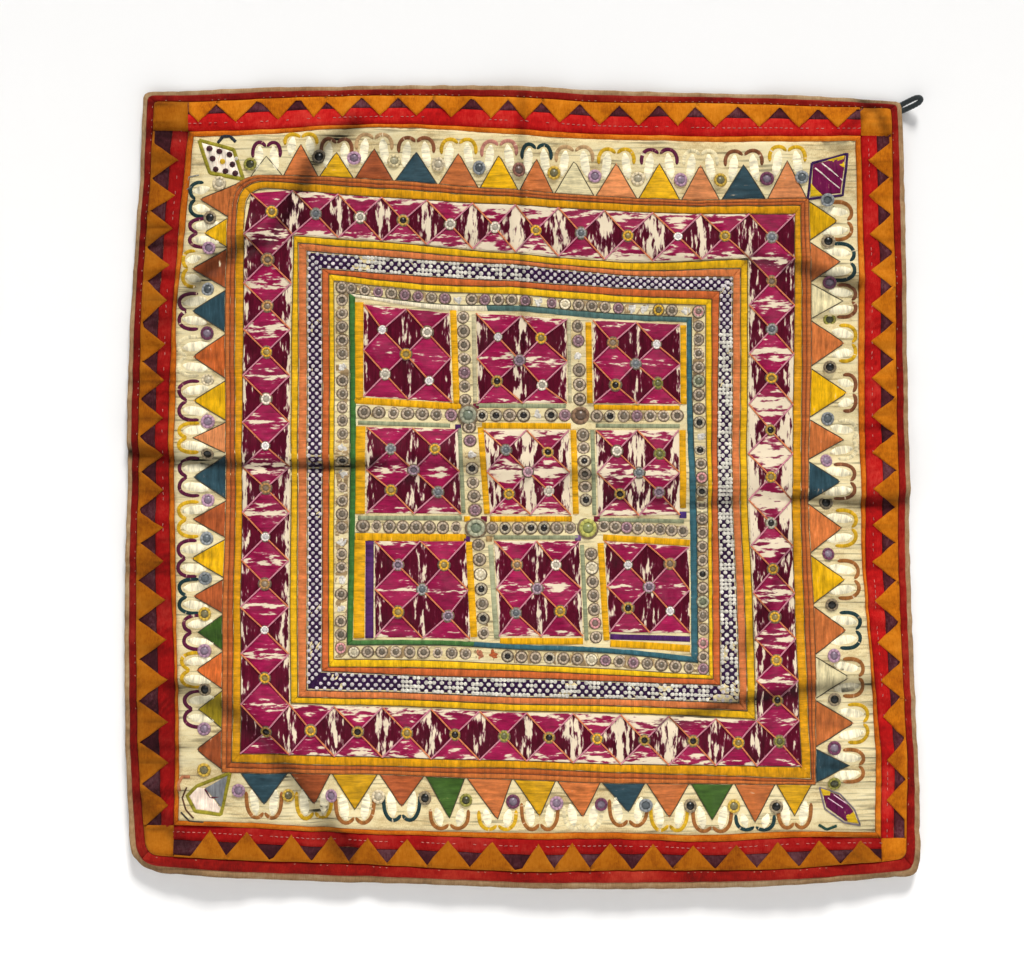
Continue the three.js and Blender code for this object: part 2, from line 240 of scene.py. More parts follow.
FOLDS = (  # from, to, rise, how far it falls away above or left, and below or right
    ((-400, -352), (400, -407), 6, 26, 10),
    ((4, 10), (0, -230), 4.5, 9, 24),
    ((-330, -133), (-225, -148), 3.5, 20, 10),
    ((110, -156), (330, -184), 3.5, 24, 11),
    ((160, -596), (350, -602), 3.5, 20, 10),
    ((-240, -668), (-176, -752), -3.5, 13, 13),
    ((-182, -30), (-176, -60), -2.5, 11, 11),
)
FOLD_FADE = 45
SWELLS = (  # middle, rise, radius
    ((-210, -190), 4, 150), ((215, -230), 3.5, 150), ((-170, -560), 5, 170),
    ((190, -520), 3, 140), ((60, -760), 9, 260), ((-330, -790), 7, 150), ((330, -790), 6, 150),
)
PUCKERS = (  # where they start and end in x, then in z; how wide, how long, how high; seed
    ((-400, -290), (-800, 20), 10, 45, 2.6, 3),
    ((295, 410), (-800, 20), 10, 45, 2.6, 4),
    ((-400, 410), (-100, 20), 45, 13, 2.0, 5),
    ((-400, 410), (-800, -690), 40, 14, 2.4, 6),
    ((-300, 300), (-700, -90), 20, 16, 2.2, 7),
    ((-400, 410), (-800, 20), 75, 65, 3.0, 8),
    ((-400, 410), (-800, 20), 33, 36, 2.0, 9),
)
PUCKER_FADE = 22
CREASES = (  # places along them, depth, half width, how much dust and painted shade darken them
    (((-165, -36), (-198, -59), (-217, -93), (-230, -126), (-248, -149), (-280, -159),
      (-312, -179), (-336, -211)), 3.6, 10, 0.95),
    (((2, -6), (1, -71), (2, -161), (4, -256)), 1.8, 5, 0.5),
    (((-390, -363), (-350, -372), (-280, -376), (-190, -377), (-135, -375)), 3.2, 6.5, 1.0),
    (((-135, -375), (-40, -374), (40, -383), (100, -391)), 1.8, 6, 0.6),
    (((90, -411), (170, -416), (220, -414)), 2.2, 6, 0.55),
    (((265, -408), (342, -414), (385, -411)), 2.8, 6.5, 0.8),
    (((228, -169), (280, -179), (336, -197)), 3.2, 8.5, 0.85),
    (((267, -451), (256, -501), (225, -561)), 2.8, 9, 0.6),
    (((140, -635), (210, -616), (280, -601), (350, -596)), 3.2, 7.5, 0.9),
    (((-344, -601), (-295, -619), (-258, -649), (-220, -701), (-175, -761)), 3.4, 11, 0.8),
    (((342, -9), (360, -25), (368, -45)), 1.6, 5, 0.6), (((326, -41), (348, -21)), 1.3, 5, 0.45),
    (((-382, -711), (-355, -733), (-336, -757)), 1.6, 6, 0.5),
    (((-372, -43), (-334, -44)), 1.2, 4.5, 0.6),
    (((-350, -655), (-255, -690)), 0, 45, 0.22), (((-160, -40), (-110, -60)), 0, 9, 0.3),
    (((300, -690), (350, -740)), 0, 30, 0.15), (((150, -395), (215, -430)), 0, 40, 0.12),
)
GROUND_THICKNESS = 1.2
LINES = {  # corners from the top left, clockwise; then how far the top, right, bottom and left
    # bow out of straight at each eighth of the way
    "ground_edge": (((-377.5, -2.5), (382.5, -11.5), (401, -787), (-389, -781)),
                    (5.5, 8.5, 11, 10.5, 7, 6.5, 4.5), (1, 0.5, -0.5, -1.5, -2, -0.5, 1),
                    (6.5, 10.5, 12, 15, 15, 13, 7), (3, 8.5, 11, 10, 11, 10, 6.5)),
    "binding_seam": (((-366, -12.5), (372, -18.5), (386, -770), (-374, -765)),
                     (3.5, 7.5, 9, 7, 3, 4, 1.5), (0, 1, 0, -0.5, -1, 1, 3.5),
                     (5, 7.5, 11.5, 14.5, 12.5, 12, 8), (4.5, 10.5, 12, 12, 13, 12, 8.5)),
    "red_edge": (((-333, -41), (341, -46.5), (361, -749), (-346, -736)),
                 (2, 7.5, 8, 3.5, 0, -1, -0.5), (0.5, -0.5, -3, -4.5, -6.5, -2.5, 2.5),
                 (1.5, 5, 6, 7, 5.5, 7, 0.5), (6.5, 11, 14, 12, 9, 4, 1)),
    "centre_edge": (((-327.5, -46.5), (335.5, -52), (355, -743), (-341, -731)),
                    (2.5, 9.5, 9, 3, 0, -1, -1), (0, -1.5, -4, -4, -4.5, 0, 2.5),
                    (1.5, 5.5, 6.5, 6, 4.5, 5.5, 0), (5.5, 12.5, 12.5, 12, 8.5, 6, 2)),
}
SIDES = {  # first corner, last corner, the way out
    "top": (0, 1, (0, 1)), "right": (1, 2, (1, 0)),
    "bottom": (3, 2, (0, -1)), "left": (0, 3, (-1, 0)),
}


HILLS = (97, 89)  # how many before they repeat, each way
TUCKS_FROM, TUCK_FADE = 315, 20  # painted shade lines of fine tucks cover the sides from here out, by x
TUCK_SIZE, TUCK_SHADE = (45, 3.7), 0.42
DUST_AND_SHADE_DARKENS = 0.75  # how much of the colour full dust and painted shade take away


@functools.cache
def hill_heights(seed):
    return np.random.default_rng(seed).uniform(-1, 1, HILLS)


def hills(u, v, seed):
    """Smooth random hills, about one unit apart, from -1 to 1."""
    heights = hill_heights(seed)
    iu, iv = np.floor(u).astype(int), np.floor(v).astype(int)
    fu, fv = u - iu, v - iv
    fu, fv = fu * fu * (3 - 2 * fu), fv * fv * (3 - 2 * fv)
    at = lambda a, b: heights[(iu + a) % HILLS[0], (iv + b) % HILLS[1]]
    return ((at(0, 0) * (1 - fu) + at(1, 0) * fu) * (1 - fv)
            + (at(0, 1) * (1 - fu) + at(1, 1) * fu) * fv)


def creasing(x, z):
    """Along each crease, a bell from 0 to 1 across it, its depth, and how much dust and
    painted shade darken it.
    """
    for path, depth, width, darkness in CREASES:
        near = np.full(np.broadcast(x, z).shape, 1e9)
        for (ax, az), (bx, bz) in zip(path, path[1:]):
            run = (bx - ax) ** 2 + (bz - az) ** 2
            share = np.clip(((x - ax) * (bx - ax) + (z - az) * (bz - az)) / run, 0, 1)
            near = np.minimum(near, (x - ax - share * (bx - ax)) ** 2
                              + (z - az - share * (bz - az)) ** 2)
        yield np.exp(-near / width ** 2), np.exp(-near / (width * 2.6) ** 2), depth, darkness


def dust_and_shade(x, z):
    """How much dust and painted shade darken the hanging at a place: most in its creases,
    and in painted shade lines on the tucked sides.
    """
    x, z = np.asarray(x, dtype=float), np.asarray(z, dtype=float)
    darkness = np.zeros(np.broadcast(x, z).shape)
    # the creases are darkened by dust and by painted shade
    for bell, _, _, most in creasing(x, z):
        darkness = np.maximum(darkness, bell * most)
    # painted shade: level lines on the sides that stand for the shadows of fine tucks
    tucks = np.clip(hills(x / TUCK_SIZE[0], z / TUCK_SIZE[1], 12), 0, 1)
    return darkness + TUCK_SHADE * (np.clip((np.abs(x) - TUCKS_FROM) / TUCK_FADE, 0, 1) * tucks)


def stand_off(x, z):
    """How far the ground cloth's back stands off the wall."""
    x, z = np.asarray(x, dtype=float), np.asarray(z, dtype=float)
    height = np.zeros(np.broadcast(x, z).shape)
    for start, end, rise, upper, lower in FOLDS:
        run = (end[0] - start[0], end[1] - start[1])
        length = math.hypot(*run)
        along = ((x - start[0]) * run[0] + (z - start[1]) * run[1]) / length
        across = ((x - start[0]) * run[1] - (z - start[1]) * run[0]) / length
        past = np.maximum(np.maximum(-along, along - length), 0) / FOLD_FADE
        width = np.where(across > 0, lower, upper)
        height += rise * np.exp(-(across / width) ** 2 - past ** 2)
    for (mx, mz), rise, radius in SWELLS:
        height += rise * np.exp(-((x - mx) ** 2 + (z - mz) ** 2) / radius ** 2)
    for (x0, x1), (z0, z1), high, long, rise, seed in PUCKERS:
        inside = np.minimum(np.minimum(x - x0, x1 - x), np.minimum(z - z0, z1 - z)) / PUCKER_FADE
        inside = np.clip(inside + 0.5, 0, 1)
        height += rise * inside * hills(x / long + 7, z / high + 5, seed)
    for bell, wide_bell, depth, _ in creasing(x, z):
        height += depth * (0.9 * wide_bell - 1.5 * bell)
    return height


def on_cloth(x, z, height):
    """The place at a height above the ground cloth's back."""
    x, z = np.asarray(x, dtype=float), np.asarray(z, dtype=float)
    return np.stack([x, -stand_off(x, z) - height, z], axis=-1)


def bow(heights, share):
    """A smooth curve through evenly spaced heights, zero at both ends."""
    knots = np.array([0, *heights, 0], dtype=float)
    stretches = len(knots) - 1
    knots = np.concatenate([[2 * knots[0] - knots[1]], knots, [2 * knots[-1] - knots[-2]]])
    place = np.clip(share, 0, 1) * stretches
    k = np.minimum(place.astype(int), stretches - 1)
    f = place - k
    a, b, c, d = knots[k], knots[k + 1], knots[k + 2], knots[k + 3]
    return b + f * ((c - a) / 2 + f * (3 * (c - b) - (c - a) - (d - b) / 2
                                       + f * ((c - a) / 2 + (d - b) / 2 - 2 * (c - b))))


def frame_line(name, table=LINES):
    """A frame line, as a function of a side and the share of the way along it."""
    corners, *bows = table[name]

    def line(side, share):
        first, last, out = SIDES[side]
        share = np.asarray(share, dtype=float)
        bulge = bow(bows[list(SIDES).index(side)], share)
        return np.stack([corners[first][k] + (corners[last][k] - corners[first][k]) * share
                         + out[k] * bulge for k in (0, 1)], axis=-1)
    return line


def rounded(line, radii):
    """The same line with its corners cut round; radii from the top left, clockwise."""
    beside = {"top": (("left", 0), ("right", 0)), "right": (("top", 1), ("bottom", 1)),
              "bottom": (("left", 1), ("right", 1)), "left": (("top", 0), ("bottom", 0))}

    def cut(side, share):
        single = np.ndim(share) == 0
        share = np.atleast_1d(np.asarray(share, dtype=float))
        places = line(side, share)
        length = np.linalg.norm(line(side, 1.0) - line(side, 0.0))
        for end in (0, 1):
            radius = radii[SIDES[side][end]]
            far = share if end == 0 else 1 - share
            near = far * length < radius
            if radius == 0 or not near.any():
                continue
            other, other_end = beside[side][end]
            step = radius / length
            corner = line(side, float(end))
            this = line(side, step if end == 0 else 1 - step)
            that = line(other, step if other_end == 0 else 1 - step)
            f = (0.5 + 0.5 * far[near] * length / radius)[:, None]
            places[near] = that * (1 - f) ** 2 + corner * 2 * f * (1 - f) + this * f * f
        return places[0] if single else places
    return cut


def whole_ring(line, steps):
    """A line's points all the way round, clockwise from the top left."""
    share = np.arange(steps) / steps
    return np.vstack([line("top", share), line("right", share),
                      line("bottom", 1 - share), line("left", 1 - share)])


ground_edge = rounded(frame_line("ground_edge"), (6, 5, 17, 30))


def maths(tree, operation, *values):
    """One sum on sockets or numbers."""
    return put(tree, "ShaderNodeMath", dict(enumerate(values)), operation=operation).outputs[0]


def object_place(tree):
    return put(tree, "ShaderNodeTexCoord").outputs["Object"]


def mark(tree, name, output="Fac"):
    """A mark of the piece's points, such as its soil or the colour of its thread."""
    return put(tree, "ShaderNodeAttribute", attribute_name=name).outputs[output]


def lit(tree, value, base):
    """A colour made lighter or darker."""
    return put(tree, "ShaderNodeHueSaturation", {"Value": value, "Color": base}).outputs[0]


def new_group(name, tree_kind, inputs, outputs):
    """An empty node group with named sockets; returns it with its two end nodes."""
    group = bpy.data.node_groups.new(name, tree_kind)
    for way, sockets in (("INPUT", inputs), ("OUTPUT", outputs)):
        for key, kind in sockets.items():
            group.interface.new_socket(name=key, in_out=way, socket_type=f"NodeSocket{kind}")
    return group, group.nodes.new("NodeGroupInput"), group.nodes.new("NodeGroupOutput")


def weave_group():
    """Plain weave: warp and weft going over and under each other, with uneven yarns."""
    group, given, out = new_group(
        "plain weave", "ShaderNodeTree", {"Place": "Vector", "Yarns per metre": "Float"},
        {"Height": "Float", "Unevenness": "Float"})
    scaled = put(group, "ShaderNodeVectorMath", {0: given.outputs["Place"],
                 "Scale": given.outputs["Yarns per metre"]}, operation="SCALE").outputs[0]
    wander = clouds(group, scaled, 0.09, 2.0, output="Color")
    moved = put(group, "ShaderNodeVectorMath", {0: scaled, 1: wander}, operation="ADD").outputs[0]
    axis = put(group, "ShaderNodeSeparateXYZ", {0: moved})
    warp = maths(group, "SINE", maths(group, "MULTIPLY", axis.outputs[0], math.pi))
    weft = maths(group, "SINE", maths(group, "MULTIPLY", axis.outputs[2], math.pi))
    over = maths(group, "ABSOLUTE", maths(group, "SUBTRACT", maths(group, "ABSOLUTE", warp),
                                          maths(group, "ABSOLUTE", weft)))
    group.links.new(over, out.inputs["Height"])
    slub = clouds(group, stretched(group, scaled, (0.9, 0.9, 0.12)), 1.0, 1.0)
    group.links.new(slub, out.inputs["Unevenness"])
    return group


def ageing_group():
    """Fading and handling marks: slow patches, and finer blotches over them."""
    group, given, out = new_group(
        "ageing", "ShaderNodeTree", {"Place": "Vector", "Patch size": "Float"},
        {"Patches": "Float", "Blotches": "Float"})
    place, size = given.outputs["Place"], given.outputs["Patch size"]
    group.links.new(clouds(group, place, size, 3.0, 0.55), out.inputs["Patches"])
    finer = maths(group, "MULTIPLY", size, 9.0)
    group.links.new(clouds(group, place, finer, 4.0, 0.65), out.inputs["Blotches"])
    return group


PLAIN_WEAVE = weave_group()
AGEING = ageing_group()


def cotton(name, deep, usual, worn, yarns=1100.0, patch=25.0, contrast=0.8, bump=0.35,
           roughness=0.85, stretch=(1, 1, 1), pucker_shade=0.0):
    """Woven cotton: one dye in a deep, a usual and a faded shade, over a plain weave, darkened
    by dust and painted shade, and where asked crossed by broken level lines of painted shade
    that stand for the shadows of fine puckers."""
    material, tree, surface = new_material(name, roughness, 0.03, gloss=0.1)
    place = stretched(tree, object_place(tree), stretch)
    weave = put(tree, "ShaderNodeGroup", {"Place": place, "Yarns per metre": yarns},
                node_tree=PLAIN_WEAVE).outputs
    age = put(tree, "ShaderNodeGroup", {"Place": place, "Patch size": patch},
              node_tree=AGEING).outputs
    tone = maths(tree, "ADD", maths(tree, "MULTIPLY", age["Patches"], 0.5),
                 maths(tree, "MULTIPLY", age["Blotches"], 0.3))
    tone = maths(tree, "ADD", tone, maths(tree, "MULTIPLY", weave["Unevenness"], 0.2))
    tone = maths(tree, "MULTIPLY_ADD", maths(tree, "SUBTRACT", tone, 0.5), 2.2 * contrast, 0.5)
    dye = shades(tree, tone, (0.1, deep), (0.5, usual), (0.92, worn))
    darkness = mark(tree, "dust_and_shade")
    # painted shade: broken level lines that stand for the shadows of fine puckers
    if pucker_shade:
        spread = clouds(tree, stretched(tree, place, (18, 1, 110)), 1.0, 2.0)
        lines = put(tree, "ShaderNodeMapRange", {"Value": spread, "From Min": 0.53,
                                                 "From Max": 0.68, "To Max": pucker_shade}).outputs[0]
        darkness = maths(tree, "ADD", darkness, lines)
    # dust and painted shade take colour away
    undarkened = maths(tree, "MULTIPLY_ADD", darkness, -DUST_AND_SHADE_DARKENS, 1.0)
    finish_surface(tree, surface, lit(tree, undarkened, dye), weave["Height"], bump, 0.0003)
    return material


EDGE_STEPS = 156  # points along each side of the raw edge
SHARES_IN = np.concatenate([[0, 0.006, 0.012, 0.02, 0.03], np.linspace(0.045, 1, 60)[:-1]])
GROUND_MIDDLE = np.array([2, -392.0])
FRAY, CORNER_FRAY = 0.45, 0.7  # how far the raw edge is uneven, and more at the low corners
EDGE_THINNER = 0.25  # on each face at the raw edge


def make_ground():
    """Two faces of rings drawn in from the frayed edge to the middle, joined along the edge."""
    rings = len(SHARES_IN)
    rim = whole_ring(ground_edge, EDGE_STEPS)
    count = len(rim)
    fray = np.random.default_rng(11).uniform(-1, 1, count)
    fray = (fray + np.roll(fray, 1)) * 0.5
    low_corner = (rim[:, 1] < -740) & (np.abs(rim[:, 0]) > 340)
    out = rim - rim.mean(axis=0)
    out /= np.linalg.norm(out, axis=1)[:, None]
    rim = rim + out * (fray * (FRAY + CORNER_FRAY * low_corner))[:, None]
    places = []
    for height, inside in ((GROUND_THICKNESS, -EDGE_THINNER), (0.0, EDGE_THINNER)):
        for share in SHARES_IN:
            grid = GROUND_MIDDLE + (rim - GROUND_MIDDLE) * (1 - share)
            places.append(on_cloth(*grid.T, height + (inside if share == 0 else 0)))
        places.append(on_cloth(*GROUND_MIDDLE[:, None], height))
    places = np.vstack(places)
    layer = rings * count + 1
    faces = []
    for ring in range(rings - 1):
        for j in range(count):
            i = (j + 1) % count
            a, b = ring * count + j, ring * count + i
            c, d = b + count, a + count
            faces.append((d, c, b, a))
            faces.append((layer + a, layer + b, layer + c, layer + d))
    for j in range(count):
        i = (j + 1) % count
        a, b = (rings - 1) * count + j, (rings - 1) * count + i
        faces.append((rings * count, b, a))
        faces.append((layer + rings * count, layer + a, layer + b))
        faces.append((j, i, layer + i, layer + j))
    material = cotton("ground cotton", "745638", "B08C64", "D8C098", yarns=900, bump=0.5)
    hem_shade = np.zeros(len(places))
    for start in (0, layer):  # painted shade along the raw edge, most of all along the bottom
        hem_shade[start:start + 2 * count] = 0.5
        hem_shade[start + 2 * count:start + 3 * count] = 0.25
    hem_shade[places[:, 2] > -765] *= 0.3
    ground = new_object("ground_cotton_cloth", places, faces, material,
                        marks={"dust_and_shade": dust_and_shade(places[:, 0], places[:, 2]) + hem_shade})
    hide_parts("ground_cloth")
    return ground


ground = make_ground()


# ---------------------------------------------------------------------------------------------
# Binding: dark red cotton, folded double over a turning and sewn down all round just inside the
# raw edge, with a line of pale stitches along its seam. Four lengths, mitred at the corners.

BINDING_OUTER = (0.37, 0.38, 0.34, 0.37)  # of the way from the ground's edge to the seam, by side
BINDING_PROFILE = (  # share of the width from outside, height
    (0, 1.1), (0.05, 2.3), (0.2, 3.2), (0.45, 3.3), (0.6, 3.0), (0.75, 3.2), (0.93, 2.9), (1, 1.1),
)
# darker by side: painted shade, and the binding's own dirt
BINDING_SHADE_AND_DIRT = {"top": 0.3, "right": 0.05, "bottom": 0.05, "left": 0.4}
DENT_PITCH, WOBBLE_PITCH = 4.3, 5  # along a strip, how far apart its dents and its bends lie
WIDE_STRIP = 9  # from this width on, the underside follows the cloth too
UNDER_WIDE = (0.8, 0.6, 0.4, 0.2)  # shares of the width
MOST_DUST_AND_SHADE = 0.9


def between(outer, inner, mix):
    """The line a share of the way from one line to another, the share given for each side."""
    def middle(side, share):
        part = mix[list(SIDES).index(side)] if isinstance(mix, tuple) else mix
        return outer(side, share) * (1 - part) + inner(side, share) * part
    return middle


plain_seam = frame_line("binding_seam")
binding_seam = rounded(plain_seam, (3, 3, 9, 15))
binding_outer = rounded(between(frame_line("ground_edge"), plain_seam, BINDING_OUTER),
                        (5, 4, 13, 24))


class Work:
    """Cloth or stitching gathered into one piece, with its pattern coordinates and marks."""

    def __init__(self):
        self.places, self.uv, self.faces, self.marks, self.count = [], [], [], {}, 0

    def add(self, places, faces, uv, **marks):
        corners = np.array([(f[0], f[k], f[k + 1]) for f in faces for k in range(1, len(f) - 1)])
        a, b, c = (places[corners[:, k]] - places[0] for k in range(3))
        if np.sum(a * np.cross(b, c)) < 0:
            faces = [tuple(reversed(face)) for face in faces]
        self.places.append(places)
        self.uv.append(uv)
        self.faces += [tuple(int(v) + self.count for v in face) for face in faces]
        for key, value in marks.items():
            value = np.asarray(value, dtype=float)
            if value.shape[:1] != (len(places),):
                value = np.broadcast_to(value, (len(places), *value.shape))
            self.marks.setdefault(key, []).append(value)
        self.count += len(places)

    def add_sections(self, loops, uv, **marks):
        """A closed solid through a row of closed loops with the same number of points."""
        rows, around = loops.shape[:2]
        index = np.arange(rows * around).reshape(rows, around)
        a, b = index[:-1], index[1:]
        quads = np.stack([a, np.roll(a, -1, 1), np.roll(b, -1, 1), b], axis=-1).reshape(-1, 4)
        caps = [tuple(index[0, ::-1]), tuple(index[-1])]
        self.add(loops.reshape(-1, 3), quads.tolist() + caps, uv.reshape(-1, 2), **marks)

    def finish(self, name, material, shade_and_dirt=0.0):
        """One piece of it all, darkened as a whole by the given painted shade and dirt."""
        marks = {key: np.concatenate(values) for key, values in self.marks.items()}
        places = np.vstack(self.places)
        marks["dust_and_shade"] = np.minimum(dust_and_shade(places[:, 0], places[:, 2]) + shade_and_dirt, MOST_DUST_AND_SHADE)
        if "thread" in marks:
            # threads are darkened by the same dust and painted shade
            marks["thread"][:, :3] *= 1 - DUST_AND_SHADE_DARKENS * marks["dust_and_shade"][:, None]
        return new_object(name, places, self.faces, material, np.vstack(self.uv), marks)


def side_axis(side):
    """The direction that a side runs in: 0 for x, 1 for z."""
    return 0 if SIDES[side][2][1] else 1


def lay_strip(work, outer, inner, side, profile, step=6.0, gather=0.0, start=0.0, stop=1.0,
              seed=20, wobble=0.0, **marks):
    """A strip along one side between two lines, with the given section across it."""
    length = np.linalg.norm(outer(side, 1.0) - outer(side, 0.0)) * (stop - start)
    count = max(2, round(float(length) / step)) + 1
    share = np.linspace(start, stop, count)
    a, b = outer(side, share), inner(side, share)
    reach = reach_along((a + b) / 2)
    row = np.full(count, 0.5)
    over = (b - a) / np.linalg.norm(b - a, axis=1)[:, None]
    a = a + over * (wobble * hills(reach / WOBBLE_PITCH + 2, row, seed + 1))[:, None]
    b = b + over * (wobble * hills(reach / WOBBLE_PITCH + 9, row, seed + 2))[:, None]
    width = np.linalg.norm(b - a, axis=1)
    loops, uv = [], []
    dents = gather * hills(reach / DENT_PITCH, row, seed)
    if width.mean() > WIDE_STRIP:
        profile = (*profile, *((share, profile[0][1]) for share in UNDER_WIDE))
    for across, height in profile:
        spot = a + (b - a) * across
        lift = height + (dents if 0 < across < 1 else 0)
        loops.append(on_cloth(*spot.T, lift))
        uv.append(np.stack([width * across, spot[:, side_axis(side)]], axis=-1))
    work.add_sections(np.stack(loops, axis=1), np.stack(uv, axis=1), **marks)


binding_cloth = cotton("dark red binding cotton", "4E0A08", "94150F", "B83C2A", yarns=1500,
                       patch=12, contrast=1.0, bump=0.3)
for side in SIDES:
    work = Work()
    lay_strip(work, binding_outer, binding_seam, side, BINDING_PROFILE, step=4, gather=0.25,
              seed=21)
    piece = work.finish(f"bound_edge_{side}", binding_cloth, BINDING_SHADE_AND_DIRT[side])
    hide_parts(f"binding_{side}")


# ---------------------------------------------------------------------------------------------
# Maroon and red strips: plain cotton lengths sewn side by side on the ground cloth, the maroon
# one faded to a mauve brown, the red one still bright.

MAROON_INNER = (0.42, 0.48, 0.52, 0.56)  # of the way from the binding's seam to the piping, by side
FLAT_PROFILE = ((0, 1.3), (0.02, 2.6), (0.3, 2.75), (0.7, 2.75), (0.98, 2.6), (1, 1.3))
# painted shade: darker on the bottom and left, a little on the right
SIDE_SHADE = {"top": 0.0, "right": 0.12, "bottom": 0.52, "left": 0.52}

red_edge = frame_line("red_edge")
maroon_edge = between(plain_seam, red_edge, MAROON_INNER)
maroon_cloth = cotton("faded maroon cotton", "2E0E14", "56242C", "80525A", yarns=1300, patch=30,
                      contrast=1.1)
red_cloth = cotton("bright red cotton", "8A0A0C", "C21515", "DA4236", yarns=1300, patch=22,
                   contrast=1.0)
for side in SIDES:
    for name, cloth, outer, inner, slot in (
            ("maroon_strip", maroon_cloth, plain_seam, maroon_edge, "maroon_cotton"),
            ("red_strip", red_cloth, maroon_edge, red_edge, "red_cotton")):
        work = Work()
        lay_strip(work, outer, inner, side, FLAT_PROFILE, step=4, gather=0.3, seed=22)
        piece = work.finish(f"sewn_{name}_{side}", cloth, SIDE_SHADE[side])
        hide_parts(f"{name}_{side}")


# ---------------------------------------------------------------------------------------------
# Sawtooth: orange cotton slit and folded under to points, then hemmed down over the maroon. The
# side lengths end in plain blocks that fill the corners.

TOOTH_ROOT = (0.08, 0.08, 0.05, 0.06)  # of the way from the binding's seam to the piping, by side
TOOTH_POINT = (0.71, 0.8, 0.88, 0.82)
TEETH = {  # first point's place along its side, then the steps to the following ones
    "top": (-322, (37, 43, 36, 28, 38, 36, 35, 40, 34, 35, 40, 39, 39, 38, 44, 40, 38)),
    "right": (-71, (35, 38, 37, 34, 37, 37, 38, 36, 37, 36, 37, 39, 42, 38, 36, 43, 40)),
    "bottom": (-310, (37, 45, 39, 37, 39, 41, 44, 46, 34, 38, 43, 40, 43, 41, 42, 42)),
    "left": (-71, (35, 33, 37, 35, 44, 36, 38, 37, 35, 38, 33, 39, 40, 40, 42, 41, 42)),
}
TOOTH_SHARES = (0.06, 0.35, 0.65, 0.94, 1.0, 1.06, 1.35, 1.65, 1.94, 2.0)  # a point at 1
SAWTOOTH_TOP, SAWTOOTH_UNDER = 4.3, 2.7
SAWTOOTH_ACROSS = np.array((0, 0.03, 0.3, 0.6, 0.85, 0.95, 1))
SAWTOOTH_DROP = np.array((1.4, 0.35, 0, 0, 0.1, 0.35, 1.4))
BLOCK_STEPS, BLOCK_DROP = 9, np.array((1.4, 0.3, 0, 0, 0))
END_GAP, CUT_GAP = 0.3, 0.2  # from a length's end to the red strip's line, and to its first fold

tooth_root = between(plain_seam, red_edge, TOOTH_ROOT)
tooth_point = between(plain_seam, red_edge, TOOTH_POINT)


def share_at(line, side, place):
    """The share of the way along a side's line at a place on the side's own direction."""
    start, end = line(side, 0.0)[side_axis(side)], line(side, 1.0)[side_axis(side)]
    return np.clip((place - start) / (end - start), 0, 1)


def patch_between(top, right, bottom, left):
    """A smooth patch inside four edges, each a row of points; top and bottom run one way."""
    a = np.linspace(0, 1, len(top))[None, :, None]
    b = np.linspace(0, 1, len(left))[:, None, None]
    ruled = top[None] * (1 - b) + bottom[None] * b + left[:, None] * (1 - a) + right[:, None] * a
    corners = (top[0] * (1 - a) * (1 - b) + top[-1] * a * (1 - b)
               + bottom[0] * (1 - a) * b + bottom[-1] * a * b)
    return ruled - corners


def lay_patch(work, grid, heights, under, **marks):
    """A closed solid between the heights over a grid of places and an even height under it."""
    back = grid[:, ::-1]
    loops = np.concatenate([on_cloth(grid[..., 0], grid[..., 1], heights),
                            on_cloth(back[..., 0], back[..., 1], under)], axis=1)
    work.add_sections(loops, np.concatenate([grid, back], axis=1), **marks)


def tooth_edge(side, limits):
    """Places along a side and how far each reaches from foot, 0, to point, 1."""
    first, steps = TEETH[side]
    way = 1 if side_axis(side) == 0 else -1
    places, reach = [first - way * steps[0] / 2], [0.0]
    place = first
    for step in [*steps, steps[-1]]:
        for f in TOOTH_SHARES:
            places.append(place + way * (f - 1) * step / 2)
            reach.append(1 - abs(f - 1))
        place += way * step
    places, reach = np.array(places), np.array(reach)
    inside = (places > min(limits)) & (places < max(limits))
    ends = [limits[0] + way * CUT_GAP, limits[1] - way * CUT_GAP]
    at_ends = [float(np.interp(way * spot, way * places, reach)) for spot in ends]
    return (np.array([ends[0], *places[inside], ends[1]]),
            np.array([at_ends[0], *reach[inside], at_ends[1]]))


def corner_block(side, end, level):
    """The grid of a plain block, between the seam, the top or bottom, and the red strip."""
    corner = red_edge(side, end)
    far_end = share_at(plain_seam, side, corner[1])
    down = binding_seam(side, np.linspace(end, far_end, BLOCK_STEPS))
    start = 0.0 if side == "left" else 1.0
    far_in = share_at(plain_seam, level, corner[0])
    over = binding_seam(level, np.linspace(start, far_in, BLOCK_STEPS))
    shares = np.linspace(0, 1, BLOCK_STEPS)[:, None]
    return patch_between(over, over[-1] + (corner - over[-1]) * shares,
                         down[-1] + (corner - down[-1]) * shares, down)


